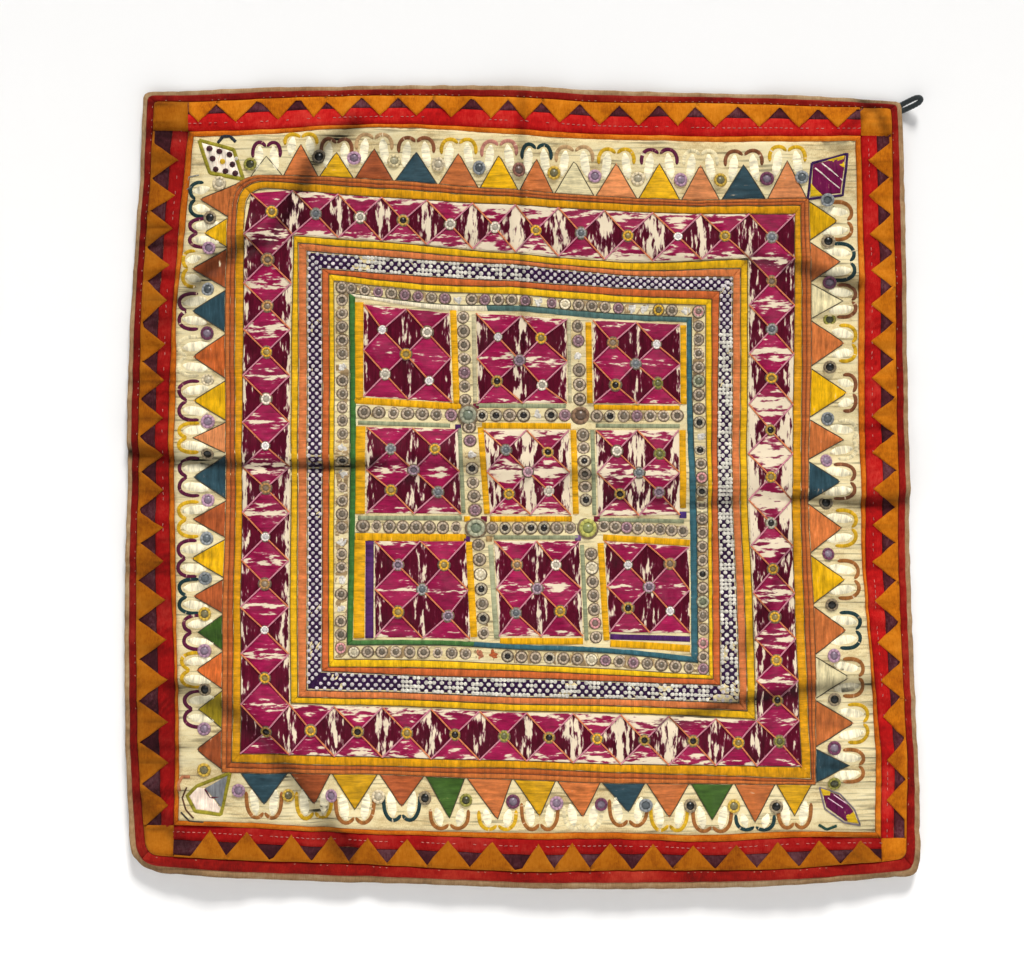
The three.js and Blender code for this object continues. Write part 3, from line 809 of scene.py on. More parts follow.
def make_sawtooth(side, cloth):
    """One length of points, and on the left and right the two blocks at its ends."""
    work = Work()
    upright = side_axis(side) == 1
    if upright:
        limits = (red_edge(side, 0.0)[1] - END_GAP, red_edge(side, 1.0)[1] + END_GAP)
    else:
        end = 0.0 if side == "top" else 1.0
        limits = (red_edge("left", end)[0] + END_GAP, red_edge("right", end)[0] - END_GAP)
    places, reach = tooth_edge(side, limits)
    outer = binding_seam(side, share_at(plain_seam, side, places))
    foot = tooth_root(side, share_at(tooth_root, side, places))
    point = tooth_point(side, share_at(tooth_point, side, places))
    inner = foot + (point - foot) * reach[:, None]
    inner += np.random.default_rng(len(side)).normal(0, 0.25, inner.shape)
    across = SAWTOOTH_ACROSS[None, :, None]
    grid = outer[:, None] * (1 - across) + inner[:, None] * across
    waves = 0.35 * hills(grid[..., 0] / 11 + 3, grid[..., 1] / 11 + 3, 31)
    lay_patch(work, grid, SAWTOOTH_TOP - SAWTOOTH_DROP + waves, SAWTOOTH_UNDER)
    if upright:
        steps_in = np.minimum(np.arange(BLOCK_STEPS), np.arange(BLOCK_STEPS)[::-1])
        drop = BLOCK_DROP[np.minimum(steps_in[:, None], steps_in)]
        for end, level in ((0.0, "top"), (1.0, "bottom")):
            block = corner_block(side, end, level)
            waves = 0.5 * hills(block[..., 0] / 9, block[..., 1] / 9, 32)
            lay_patch(work, block, SAWTOOTH_TOP - drop + waves, SAWTOOTH_UNDER)
    piece = work.finish(f"folded_teeth_{side}", cloth, SIDE_SHADE[side])
    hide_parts(f"sawtooth_{side}")


orange_cloth = cotton("orange cotton", "9C4A04", "D0760C", "E68F24", yarns=1400, patch=28,
                      contrast=1.1)
for side in SIDES:
    make_sawtooth(side, orange_cloth)


# ---------------------------------------------------------------------------------------------
# Piping: orange cotton folded round a cotton cord and whipped over the centre's raw edge, which
# dents it along its length. Four lengths.

PIPING_PROFILE = (
    (0, 1.2), (0.06, 2.6), (0.22, 3.5), (0.45, 3.9), (0.68, 3.7), (0.88, 2.9), (1, 1.4),
)
PIPING_SHADE_SHARE = 0.6  # its painted side shade, against that of the strips
centre_edge = frame_line("centre_edge")
piping_cloth = cotton("orange piping cotton", "9A4208", "DA7014", "EE9A34", yarns=1500, patch=30,
                      contrast=1.1)
for side in SIDES:
    work = Work()
    lay_strip(work, red_edge, centre_edge, side, PIPING_PROFILE, step=2.2, gather=0.55, seed=23)
    piece = work.finish(f"corded_edge_{side}", piping_cloth, SIDE_SHADE[side] * PIPING_SHADE_SHARE)
    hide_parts(f"piping_{side}")


# ---------------------------------------------------------------------------------------------
# Embroidered centre: ivory cotton satin, one cut, on which everything that follows is worked. It
# is bare between the stitched triangles and their hooks, and crossed there by broken lines of
# painted shade that stand for fine puckers.

CENTRE_TOP, CENTRE_UNDER = 2.7, 1.5
CENTRE_STEPS = 160


def make_centre():
    """One closed cloth on a grid drawn between its four edges."""
    share = np.linspace(0, 1, CENTRE_STEPS + 1)
    work = Work()
    lay_patch(work, patch_between(*(centre_edge(side, share) for side in SIDES)), CENTRE_TOP,
              CENTRE_UNDER)
    material = cotton("ivory satin", "B4925A", "ECDAA8", "FAEFC8", yarns=1600, patch=14,
                      contrast=0.9, bump=0.25, roughness=0.7, stretch=(1, 1, 3), pucker_shade=0.75)
    return work.finish("ivory_centre_cloth", material)


centre = make_centre()
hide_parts("embroidered_centre")


# ---------------------------------------------------------------------------------------------
# Ring stripes: floss silk laid in close stitches across narrow bands round the middle, salmon,
# mustard and yellow. Worked straight into the ivory cotton, on one piece.

RINGS = {  # corners from the top left, clockwise; then bows at each quarter, as in LINES
    "toran_base": (((-291, -85), (289, -109), (295, -695), (-298, -683)),
                   (1, -4, -7), (1.5, -4, 1.3), (-1, 1.4, 2), (2.5, -0.5, 1.3)),
    "salmon_inner": (((-283, -90.5), (281, -116), (291, -690), (-288, -673)),
                     (-1.5, -4.2, -6), (-0.5, -5, -3.3), (0, -2, -1), (1.8, -0.5, 0.3)),
    "mustard_inner": (((-275, -97.5), (275, -125), (281, -677), (-279, -664)),
                      (-3.6, -4.7, -5.3), (-2, -6, -4), (0.8, 1.2, 1.5), (1, 1, 1.3)),
    "silk_inner": (((-226, -147), (228, -170), (235, -630), (-229, -614)),
                   (-1.8, -6.5, -8.8), (-1.7, -4.5, -0.6), (-0.6, 0, -1.7), (2.2, 1.5, 1.8)),
    "yellow_inner": (((-222, -154), (221, -179), (227, -622), (-222, -608)),
                     (-2, -5, -8), (-1.5, -4, -0.9), (-0.9, 0, -1.4), (0, 0.6, 1)),
    "check_outer": (((-213, -162), (213, -188), (219, -614), (-213, -601)),
                    (-1.2, -1, -4.7), (-1.9, -4, -1.1), (-0.5, 0.5, -0.9), (0, 0, 0)),
    "check_inner": (((-198, -180), (200, -202), (200, -596), (-198, -582)),
                    (-1.1, -1.5, -2.1), (-1.8, -2, -0.3), (1.1, 0, 0), (0, 0, 0)),
    "rust_inner": (((-191, -185), (192, -210), (193, -590), (-191, -578)),
                   (-3.5, -0.9, -2.1), (-0.2, -0.5, -0.3), (-2.2, -2.3, -1), (0, 0, 0.7)),
    "gold_inner": (((-186, -192), (186, -216), (189, -586), (-186, -570)),
                   (-3.4, -2, -2.6), (-0.8, 0.3, 0.2), (-2.9, -2.6, -2.1), (0, 0, 0.4)),
    "row_inner": (((-171, -204), (172, -228), (178, -574), (-173, -556)),
                  (-4.4, -0.7, -1.4), (-0.8, 1.2, 1), (-4.5, -4.5, -5.4), (-1, -1.9, -0.9)),
    "stripe_inner": (((-165, -208), (167, -233), (171, -567), (-167, -551)),
                     (-5.9, -2.2, -2.9), (-1, 0.3, 0.5), (-4, -3.8, -4.4), (-1, -1.9, -1)),
}
RING_BENDS = {"toran_base": 34, "salmon_inner": 30, "mustard_inner": 24}  # first corner, cut round
FLOSS = 0.0009  # from one laid thread to the next, in metres
STRIPE_PROFILE = (
    (0, 2.3), (0.03, 2.9), (0.18, 3.6), (0.5, 3.85), (0.82, 3.6), (0.97, 2.9), (1, 2.3),
)
RING_STRIPES = (  # outer ring, inner ring, from and to across the space between them, colour
    ("toran_base", "salmon_inner", 0.0, 0.48, "BA6830"),
    ("toran_base", "salmon_inner", 0.52, 0.98, "AC5826"),
    ("salmon_inner", "mustard_inner", 0.05, 0.97, "CE900C"),
    ("silk_inner", "yellow_inner", 0.04, 0.96, "DCA911"),
    ("yellow_inner", "check_outer", 0.06, 0.94, "CC7440"),
    ("check_inner", "rust_inner", 0.04, 0.96, "C0602E"),
    ("rust_inner", "gold_inner", 0.04, 0.98, "E2B214"),
)
INNER_STRIPE = (  # side, from, to, colour: one stripe, carried on in other silk as each ran out
    ("left", 0, 1, "3B6B30"), ("top", 0, 0.4, "E6DABC"), ("top", 0.4, 1, "4C6A66"),
    ("right", 0, 1, "35606A"), ("bottom", 0, 0.36, "46703A"), ("bottom", 0.36, 1, "35606A"),
)


def laid_threads_group():
    """Threads laid side by side: their ridges, their own shades, and where they are worn off."""
    group, given, out = new_group(
        "laid threads", "ShaderNodeTree", {"Stitching": "Vector", "Wear": "Float"},
        {"Height": "Float", "Shade": "Float", "Worn": "Float"})
    stitching = given.outputs["Stitching"]
    axis = put(group, "ShaderNodeSeparateXYZ", {0: stitching})
    wander = maths(group, "MULTIPLY", clouds(group, stitching, 160.0, 1.0), 5.0)
    across = maths(group, "MULTIPLY_ADD", axis.outputs[1], math.pi / FLOSS, wander)
    ridge = maths(group, "ABSOLUTE", maths(group, "SINE", across))
    group.links.new(ridge, out.inputs["Height"])
    own = clouds(group, stretched(group, stitching, (45, 0.8 / FLOSS, 1)), 1.0, 2.0)
    rub = clouds(group, stretched(group, stitching, (52, 210, 1)), 1.0, 3.0, 0.6)
    tone = maths(group, "MULTIPLY_ADD", rub, 1.3, -0.4)
    group.links.new(maths(group, "MULTIPLY_ADD", own, 0.6, tone), out.inputs["Shade"])
    rub = maths(group, "MULTIPLY_ADD", given.outputs["Wear"], 0.17, rub)
    worn = put(group, "ShaderNodeMapRange", {"Value": rub, "From Min": 0.58, "From Max": 0.69},
               interpolation_type="SMOOTHSTEP")
    group.links.new(worn.outputs[0], out.inputs["Worn"])
    return group


LAID_THREADS = laid_threads_group()


def silk(name, under, edge, roughness=0.5):
    """Floss silk in the colour of its 'thread' mark, worn through to the cloth under it."""
    material, tree, surface = new_material(name, roughness, 0.05, gloss=0.12)
    stitching = put(tree, "ShaderNodeUVMap", uv_map="stitching").outputs[0]
    laid = put(tree, "ShaderNodeGroup", {"Stitching": stitching, "Wear": mark(tree, "worn")},
               node_tree=LAID_THREADS).outputs
    age = put(tree, "ShaderNodeGroup", {"Place": object_place(tree), "Patch size": 25.0},
              node_tree=AGEING).outputs
    light = maths(tree, "MULTIPLY", maths(tree, "MULTIPLY_ADD", laid["Shade"], 1.5, 0.25),
                  maths(tree, "MULTIPLY_ADD", age["Blotches"], 0.5, 0.75))
    whole = lit(tree, light, mark(tree, "thread", "Color"))
    bare = shades(tree, laid["Worn"], (0.25, edge), (0.8, under))
    mixed = put(tree, "ShaderNodeMix", {0: laid["Worn"], 6: whole, 7: bare}, data_type="RGBA")
    finish_surface(tree, surface, mixed.outputs[2], laid["Height"], 0.7, 0.00025)
    return material


def ring(name):
    return rounded(frame_line(name, RINGS), (RING_BENDS.get(name, 0), 0, 0, 0))


def ring_line(outer, inner, place):
    """The line a share of the way from one ring to another."""
    return between(ring(outer), ring(inner), place)


def lay_ring_strip(work, rings, near, far, side, profile, **how):
    """A strip along one side of the space between two rings, from near to far across it."""
    lay_strip(work, ring_line(*rings, near), ring_line(*rings, far), side, profile, **how)


def sew(piece):
    """Takes a finished piece worked on the ivory cloth, and does nothing with it."""


FLOSS_SILK = silk("floss silk", "EADBB8", "C9A27C")
stripes = Work()
LAID_CLOSE = {"step": 2.6, "gather": 0.25, "wobble": 0.35}
for outer, inner, near, far, code in RING_STRIPES:
    for number, side in enumerate(SIDES):
        lay_ring_strip(stripes, (outer, inner), near, far, side, STRIPE_PROFILE, **LAID_CLOSE,
                       seed=40 + number, thread=colour(code), worn=-0.6)
for side, start, stop, code in INNER_STRIPE:
    lay_ring_strip(stripes, ("row_inner", "stripe_inner"), 0.05, 1, side, STRIPE_PROFILE,
                   **LAID_CLOSE, start=start, stop=stop, seed=50, thread=colour(code), worn=-0.5)
sew(stripes.finish("laid_silk_stripes", FLOSS_SILK))


# ---------------------------------------------------------------------------------------------
# Magenta silk: cells crossed from corner to corner, in a wide band and in nine panels of four
# cells. Between the crossings the floss lies upright and level by turns, and is rubbed away in
# streaks where the hanging was folded and handled.

CELLS = {  # middles of the ten cells along each side, between the corner cells; then wear of each
    "top": ((-204, -160, -117, -70, -25, 16, 61, 108, 158, 205),
            (0.3, 0.3, 0.4, 0.4, 0.8, 0.8, 0.3, 0.7, 0.6, 0.3)),
    "left": ((-171, -217, -263, -310, -357, -399, -448, -495, -541, -589),
             (0.1, 0.4, 0.1, 0.0, 0.1, 0.5, 0.2, 0.0, 0.3, 0.0)),
    "right": ((-192, -240, -289, -341, -388, -434, -480, -528, -571, -611),
              (0.1, 0.3, 0.5, 0.9, 1.0, 0.9, 0.4, 0.3, 0.3, 0.1)),
    "bottom": ((-209, -162, -113, -65, -16, 29, 77, 124, 173, 218),
               (0.1, 0.4, 0.4, 0.1, 0.1, 0.3, 0.6, 0.9, 0.4, 0.1)),
}
CORNER_CELLS = ((-248, -123), (252, -148), (259, -652), (-254, -643))  # middles, clockwise
PANELS = (  # corners, clockwise from the top left; the middles of the four cells; wear
    (((-156.5, -215), (-71, -224), (-68, -313), (-156.5, -307)),
     ((-138, -240.5), (-93, -243), (-91, -291.5), (-135, -285)), -0.05),
    (((-44, -224), (47, -230), (47, -314), (-42, -314)),
     ((-22, -248), (21, -249), (22, -296), (-23, -292)), 0.25),
    (((73, -231), (160, -235), (161, -315), (74, -314)),
     ((93, -253.5), (137, -255), (138.5, -294), (95.5, -296)), 0.0),
    (((-153.5, -338), (-62, -340), (-59, -425), (-153.5, -424)),
     ((-129, -360), (-85, -360), (-82, -403), (-129, -401)), 0.15),
    (((-36, -341), (49, -341), (51, -426), (-30, -425)),
     ((-14, -361), (28, -363), (29, -402), (-11, -405)), 0.75),
    (((76, -341), (159, -341), (160, -426), (78, -427)),
     ((97, -362), (139.5, -365), (139, -403), (100, -405)), 0.6),
    (((-145.5, -452), (-54, -452), (-50, -550), (-144.5, -548)),
     ((-122, -476), (-76, -476), (-72, -527), (-122, -523)), 0.05),
    (((-26, -452), (59, -452), (63, -547), (-21, -547)),
     ((-3, -476), (36, -476), (40, -522), (-4, -524)), 0.25),
    (((84.5, -452), (169, -458), (170, -544), (89.5, -543)),
     ((108, -476), (150, -475), (150, -522), (108, -519)), 0.05),
)
LEVEL_SILK, UPRIGHT_SILK = "940C44", "540720"  # the same dye, bright or dark as the light meets it
PAD_LEVELS = (  # share of the way out from the middle, height: first under the silk, then over
    (0.3, 2.2), (0.65, 2.2), (1, 2.2), (1, 2.9), (0.95, 3.2), (0.84, 3.42), (0.6, 3.5),
    (0.3, 3.5), (0.08, 3.5),
)
PAD_SIZE, PAD_UNEVEN = 0.985, 0.12  # a little short of its corners, with an uneven edge
BAND_WEAR, UPRIGHT_WEAR, LEVEL_WEAR = -0.75, -0.8, -0.9  # added to a cell's own wear
LONG_WEAR = 1.5  # how much more the longest threads are worn than the shortest
CROSSINGS = ("D27A4C", "CC8494")  # couched threads, falling and rising to the right
MIRROR_CLEAR = 4.3  # from the middle of a small mirror to the threads that end beside it
pad_seeds = np.random.default_rng(60)


def own_stitches():
    """Where a shape's stitches lie in the pattern of laid threads, so that no two are alike."""
    return pad_seeds.uniform(-2000, 2000, 2)


def lay_pad(work, corners, upright, code, worn, more_worn=0.0, parts=6):
    """Satin stitch filling a shape with straight sides; its longest threads can be worn more."""
    corners = np.array(corners, dtype=float)
    steps = np.linspace(0, 1, parts, endpoint=False)[:, None]
    rim = np.vstack([a + (b - a) * steps for a, b in zip(corners, np.roll(corners, -1, 0))])
    middle = corners.mean(axis=0)
    over = 0 if upright else 1
    longest = (corners[:2] if len(corners) == 3 else corners).mean(axis=0)[over]
    span = np.abs(corners[:, over] - longest).max()
    rim = middle + (rim - middle) * PAD_SIZE + pad_seeds.normal(0, PAD_UNEVEN, rim.shape)
    loops, uv, wear = [], [], []
    shift = own_stitches()
    for share, height in PAD_LEVELS:
        spot = middle + (rim - middle) * share
        loops.append(on_cloth(*spot.T, height))
        uv.append((spot[:, ::-1] if upright else spot) + shift)
        near = 1 - np.abs(spot[:, over] - longest) / span
        wear.append(worn + more_worn * np.clip(near, 0, 1) ** 1.5)
    tint = np.array(colour(code)) * ([pad_seeds.uniform(0.85, 1.15)] * 3 + [1])
    work.add_sections(np.stack(loops), np.stack(uv), thread=tint, worn=np.concatenate(wear))


def lay_magenta(work, corners, upright, worn, more_worn=LONG_WEAR):
    """A part of a cell; the silk looks dark where it stands upright, and bright where level."""
    lay_pad(work, corners, upright, UPRIGHT_SILK if upright else LEVEL_SILK, worn, more_worn)


def side_point(line, side, place):
    """The point of a side's line, bent or not, at a place along the side."""
    shares = np.linspace(0, 1, 201)
    reached = line(side, shares)[:, side_axis(side)]
    way = np.sign(reached[-1] - reached[0])
    return line(side, float(np.interp(place * way, reached * way, shares)))


def cell_band():
    """The corners of every cell round the band, as chains along each side."""
    outer, inner = ring("mustard_inner"), ring_line("silk_inner", "mustard_inner", 0.03)
    chains = {}
    for side, (middles, wears) in CELLS.items():
        first, last, _ = SIDES[side]
        along = side_axis(side)
        ends = [float(inner(side, float(end))[along]) for end in (0, 1)]
        bounds = [ends[0], *[(a + b) / 2 for a, b in zip(middles, middles[1:])], ends[1]]
        rims = [(side_point(outer, side, b), side_point(inner, side, b)) for b in bounds]
        cells = []
        for k, middle in enumerate(middles):
            mid = (rims[k][0] + rims[k][1] + rims[k + 1][0] + rims[k + 1][1]) / 4
            mid[along] = middle
            cells.append((rims[k], rims[k + 1], mid, wears[k]))
        corner = (outer(side, 0.0), outer(side, 1.0))
        chains[side] = (cells, CORNER_CELLS[first], CORNER_CELLS[last], corner)
    return chains


BAND = cell_band()


def clear_of(mirror, far):
    """Where a couched thread that comes from afar ends beside a mirror."""
    legs = np.array(far) - np.array(mirror)
    return np.array(mirror) + legs * MIRROR_CLEAR / np.linalg.norm(legs)


def stitch_band(work, crosses):
    """Fills the band's cells, and lists the couched crossings over them."""
    for side, (cells, before, after, corner) in BAND.items():
        upright = side in ("top", "bottom")
        middles = [np.array(before), *[cell[2] for cell in cells], np.array(after)]
        edges = [cells[0][0], *[cell[1] for cell in cells]]
        wears = [cells[0][3], *[cell[3] for cell in cells], cells[-1][3]]
        for k, (rim_out, rim_in) in enumerate(edges):
            lay_magenta(work, (middles[k], rim_out, middles[k + 1], rim_in), upright,
                        (wears[k] + wears[k + 1]) / 2 + BAND_WEAR)
        for start, stop, middle, wear in cells:
            for k in (0, 1):
                lay_magenta(work, (start[k], stop[k], middle), not upright, wear + BAND_WEAR)
                crosses += [(start[k], middle), (stop[k], middle)]
        for end, middle, rims in ((0, before, edges[0]), (1, after, edges[-1])):
            lay_magenta(work, (corner[end], rims[0], middle), not upright, 0.1, 0.0)
            crosses += [(rims[0], middle)]
            if upright:
                crosses += [(corner[end], middle), (rims[1], middle)]


def stitch_panels(work, crosses):
    """The same for the nine panels: four cells each, with a diamond where they meet."""
    for corners, middles, wear in PANELS:
        nw, ne, se, sw = (np.array(p, dtype=float) for p in corners)
        a, b, c, d = (np.array(p, dtype=float) for p in middles)
        n, e, s, w = (nw + ne) / 2, (ne + se) / 2, (se + sw) / 2, (sw + nw) / 2
        o = (a + b + c + d) / 4
        for upright, parts in (
                (True, ((a, n, b, o), (d, o, c, s))), (False, ((a, o, d, w), (b, e, c, o))),
                (False, ((nw, n, a), (n, ne, b), (sw, s, d), (s, se, c))),
                (True, ((nw, w, a), (w, sw, d), (ne, e, b), (e, se, c)))):
            for part in parts:
                lay_magenta(work, part, upright, wear + (UPRIGHT_WEAR if upright else LEVEL_WEAR))
        for middle, ends in ((a, (nw, n, o, w)), (b, (n, ne, e, o)), (c, (o, e, se, s)),
                             (d, (w, o, s, sw))):
            crosses += [(clear_of(o, middle) if end is o else end, middle) for end in ends]


WORN_SILK = silk("magenta floss silk", "F0DFC2", "B86E8A", roughness=0.42)
crossings = []
diamonds = Work()
stitch_band(diamonds, crossings)
stitch_panels(diamonds, crossings)
sew(diamonds.finish("magenta_silk_filling", WORN_SILK))


# ---------------------------------------------------------------------------------------------
# Couched threads: twisted silk laid over the magenta cells from corner to corner, and along the
# edges of the stripes, held down by small stitches across it.

CROSSING_SIZE, OUTLINE_SIZE = 0.75, 0.42
CROSSING_HEIGHT, OUTLINE_HEIGHT = 3.7, 3.0
OUTLINES = (  # outer ring, inner ring, place between them, colour
    ("toran_base", "salmon_inner", 0.0, "6A4424"), ("toran_base", "salmon_inner", 0.5, "7A3E20"),
    ("salmon_inner", "mustard_inner", 0.01, "5A4420"),
    ("mustard_inner", "silk_inner", 0.0, "54401C"),
    ("silk_inner", "yellow_inner", 0.0, "54401C"), ("yellow_inner", "check_outer", 0.0, "54401C"),
    ("check_outer", "check_inner", 0.0, "3A2A2A"), ("check_outer", "check_inner", 1.0, "3A2A2A"),
    ("rust_inner", "gold_inner", 0.0, "5A4018"), ("rust_inner", "gold_inner", 1.0, "6A5A3A"),
    ("row_inner", "stripe_inner", 0.0, "3C4032"),
)


def close_tree(tree, given, out, shape):
    """The end of every tree: smooth faces, real ones, in the given material."""
    shape = put(tree, "GeometryNodeRealizeInstances", {"Geometry": shape}).outputs[0]
    shape = put(tree, "GeometryNodeSetShadeSmooth", {0: shape}).outputs[0]
    shape = put(tree, "GeometryNodeSetMaterial", {"Geometry": shape,
                "Material": given.outputs["Material"]}).outputs[0]
    tree.links.new(shape, out.inputs[0])


def sweep(tree, lines, sides, radius=1.0, scale=None):
    """A round cord along curves, which keeps how far along it each point lies."""
    reach = put(tree, "GeometryNodeSplineParameter").outputs["Length"]
    lines = put(tree, "GeometryNodeStoreNamedAttribute", {"Geometry": lines, "Name": "reach",
                "Value": reach}, data_type="FLOAT", domain="POINT").outputs[0]
    round_section = put(tree, "GeometryNodeCurvePrimitiveCircle", {0: sides, 4: radius}).outputs[0]
    cords = put(tree, "GeometryNodeCurveToMesh", {"Curve": lines, "Profile Curve": round_section,
                                                  "Fill Caps": True})
    if scale:
        tree.links.new(scale, cords.inputs["Scale"])
    return cords.outputs[0]


def couching_tree():
    """A cord along every line of the guide, as thick as the guide's 'size' there."""
    tree, given, out = new_group(
        "couching", "GeometryNodeTree",
        {"Guide": "Geometry", "Sides": "Int", "Material": "Material"}, {"Made": "Geometry"})
    size = put(tree, "GeometryNodeInputNamedAttribute", {"Name": "size"}, data_type="FLOAT")
    lines = put(tree, "GeometryNodeMeshToCurve", {0: given.outputs["Guide"]}).outputs[0]
    close_tree(tree, given, out, sweep(tree, lines, given.outputs["Sides"],
                                       scale=size.outputs[0]))
    return tree


def grow(name, places, edges, marks, tree, **inputs):
    """Runs a tree over a guide of points and lines, and keeps what it makes as one piece."""
    mesh = bpy.data.meshes.new(name)
    mesh.from_pydata((np.asarray(places) * MM).tolist(), edges, [])
    for key, values in marks.items():
        values = np.asarray(values, dtype=np.float32)
        kind, field = {1: ("FLOAT", "value"), 3: ("FLOAT_VECTOR", "vector"),
                       4: ("FLOAT_COLOR", "color")}[values.shape[1] if values.ndim > 1 else 1]
        mesh.attributes.new(key, kind, "POINT").data.foreach_set(field, values.ravel())
    guide = bpy.data.objects.new(f"{name}_guide", mesh)
    bpy.context.scene.collection.objects.link(guide)
    modifier = guide.modifiers.new("grow", "NODES")
    modifier.node_group = tree
    for socket in tree.interface.items_tree:
        if socket.in_out == "INPUT" and socket.name in inputs:
            modifier[socket.identifier] = inputs[socket.name]
    graph = bpy.context.evaluated_depsgraph_get()
    made = bpy.data.meshes.new_from_object(guide.evaluated_get(graph))
    made.name = name
    bpy.data.objects.remove(guide)
    return keep_piece(name, made)


def darkened_by_dust_and_shade(thread, x, z):
    """Thread colours darkened by the dust and painted shade where they lie."""
    thread[:, :3] *= 1 - DUST_AND_SHADE_DARKENS * dust_and_shade(x, z)[:, None]
    return thread


class Lines:
    """Threads to be laid along lines, gathered for one run of the couching tree."""

    def __init__(self):
        self.places, self.edges, self.thread, self.size = [], [], [], []

    def add(self, path, height, size, code, step=5.0):
        path = np.asarray(path, dtype=float)
        reach = reach_along(path)
        even = np.linspace(0, reach[-1], max(2, round(reach[-1] / step) + 1))
        x, z = (np.interp(even, reach, path[:, k]) for k in (0, 1))
        first = len(self.places)
        self.places += on_cloth(x, z, height).tolist()
        self.edges += [(first + k, first + k + 1) for k in range(len(even) - 1)]
        self.thread += [colour(code)] * len(even)
        self.size += [size * MM] * len(even)

    def finish(self, name, sides, material):
        places = np.array(self.places)
        thread = darkened_by_dust_and_shade(np.array(self.thread), places[:, 0], places[:, 2])
        sew(grow(name, places, self.edges, {"thread": thread, "size": self.size}, COUCHING,
                 Sides=sides, Material=material))


def twisted(name, pitch, depth=0.5):
    """Thread in the colour of its 'thread' mark, dented or ridged at an even pitch along it,
    with painted shade in the dents.
    """
    material, tree, surface = new_material(name, 0.55, 0.2)
    turns = maths(tree, "MULTIPLY", mark(tree, "reach"), math.pi / pitch)
    wave = maths(tree, "ABSOLUTE", maths(tree, "SINE", turns))
    own = clouds(tree, object_place(tree), 420.0, 2.0)
    light = maths(tree, "MULTIPLY_ADD", own, 1.2, 0.15)
    # painted shade: the dents between the twists are darker
    light = maths(tree, "MULTIPLY_ADD", wave, 0.45, light)
    finish_surface(tree, surface, lit(tree, light, mark(tree, "thread", "Color")), wave, depth,
                   0.0004)
    return material


COUCHING = couching_tree()
COUCHED_SILK = twisted("couched silk", 0.0016)
laid = Lines()
for corner, middle in crossings:
    falling = (corner[0] - middle[0]) * (corner[1] - middle[1]) < 0
    laid.add((corner, clear_of(middle, corner)), CROSSING_HEIGHT, CROSSING_SIZE,
             CROSSINGS[not falling])
outlines = Lines()
for outer, inner, place, code in OUTLINES:
    for side in SIDES:
        outlines.add(ring_line(outer, inner, place)(side, np.linspace(0, 1, 60)),
                     OUTLINE_HEIGHT, OUTLINE_SIZE, code, step=9)
laid.finish("couched_crossings", 8, COUCHED_SILK)
outlines.finish("couched_outlines", 6, COUCHED_SILK)


# ---------------------------------------------------------------------------------------------
# Mirrors: thin pieces of silvered glass, gone grey, each held by a ring of buttonhole stitch.
# They sit in rows round the middle and between the panels, and one at each crossing of silk.

MIRROR_KINDS = {  # colour of the ring, colour of the glass
    "g": ("B5A28C", "746858"), "m": ("A68088", "80666C"), "d": ("B5A890", "262220"),
    "i": ("E8DABC", "CFC2A4"), "p": ("CC8E8E", "8A7468"), "y": ("CDA32E", "6A6040"),
    "l": ("A8A688", "747860"),
}
MIRROR_ROWS = (  # side, first and last place along it, what is at each; w is a worn white patch,
    # s a salmon one and o an orange one
    ("left", (-197.5, -559), "ggggggwgggggwdwggggwggwgwggp"),
    ("top", (-169, 179), "ggmgmmgmwgmggmwmigggmwwygwp"),
    ("right", (-223, -568), "ggggglggdwdgpdgggggdglggpg"),
    ("bottom", (-166, 183), "iggggggggsodggdggimgmggggm"),
)
SASHES = (  # from, to, what is at each place
    ((-57, -228), (-55, -311), "ggggmgg"), ((-51, -338), (-45, -421), "gmwdggm"),
    ((-41.5, -456), (-36, -544), "ggidgdg"), ((58, -237), (60, -310), "gmwggg"),
    ((63, -346), (66, -411), "ggdggd"), ((71, -465), (76, -548), "gigggpg"),
    ((-156, -323), (-69, -326), "ggggggm"), ((-38, -326.5), (45, -326), "ddgdwdm"),
    ((77, -327), (157.5, -326.5), "gdgmggg"), ((-157, -437), (-64, -439), "gggggggg"),
    ((-28, -439), (50, -439), "gdgddgg"), ((84, -437), (163, -442), "ggmggggg"),
)
LARGE_MIRRORS = (((-52, -326), "9A9A84", "7E8674"), ((61, -326), "8A6A50", "6A5648"),
                 ((-44, -439), "A8A88C", "7C8670"), ((68, -439), "B8B45A", "8A9058"))
CELL_MIRRORS = {  # along each side of the band, between the corner cells
    "top": "gidiiygywy", "left": "ttyiwtwtwy", "right": "tgydycyyyd", "bottom": "ydydodyddy",
}
CORNER_MIRRORS = "ygod"
PANEL_MIRRORS = ("wiwiy", "wyidm", "twodg", "gygym", "gdiyp", "iomdg", "mymyg", "tiygm", "wtwdm")
CELL_RINGS = {  # ring, glass
    "y": ("D8A428", "9A8650"), "g": ("8E8C88", "6E7276"), "i": ("E8DCC8", "B9B0A0"),
    "d": ("B08C3C", "241C1C"), "w": ("F0E8E0", "D9D4D2"), "t": ("B98A50", "8E7A64"),
    "o": ("8E8A3A", "6E6C46"), "c": ("A9A28E", "2A2624"), "m": ("A88C98", "7C6C78"),
    "p": ("DCA8B4", "A88C94"),
}


def facing(x, z, turn):
    """How to turn a small shape so that it lies on the cloth there, its X at the given angle."""
    x, z, turn = np.broadcast_arrays(np.asarray(x, dtype=float), z, turn)
    east = (stand_off(x + 2, z) - stand_off(x - 2, z)) / 4
    north = (stand_off(x, z + 2) - stand_off(x, z - 2)) / 4
    out = np.stack([-east, -np.ones_like(east), -north], axis=-1)
    out /= np.linalg.norm(out, axis=1)[:, None]
    along = np.stack([np.cos(turn), np.zeros_like(east), np.sin(turn)], axis=-1)
    along -= out * np.sum(along * out, axis=1)[:, None]
    along /= np.linalg.norm(along, axis=1)[:, None]
    other = np.cross(out, along)
    return [tuple(Matrix((a, b, c)).transposed().to_euler()) for a, b, c in zip(along, other, out)]


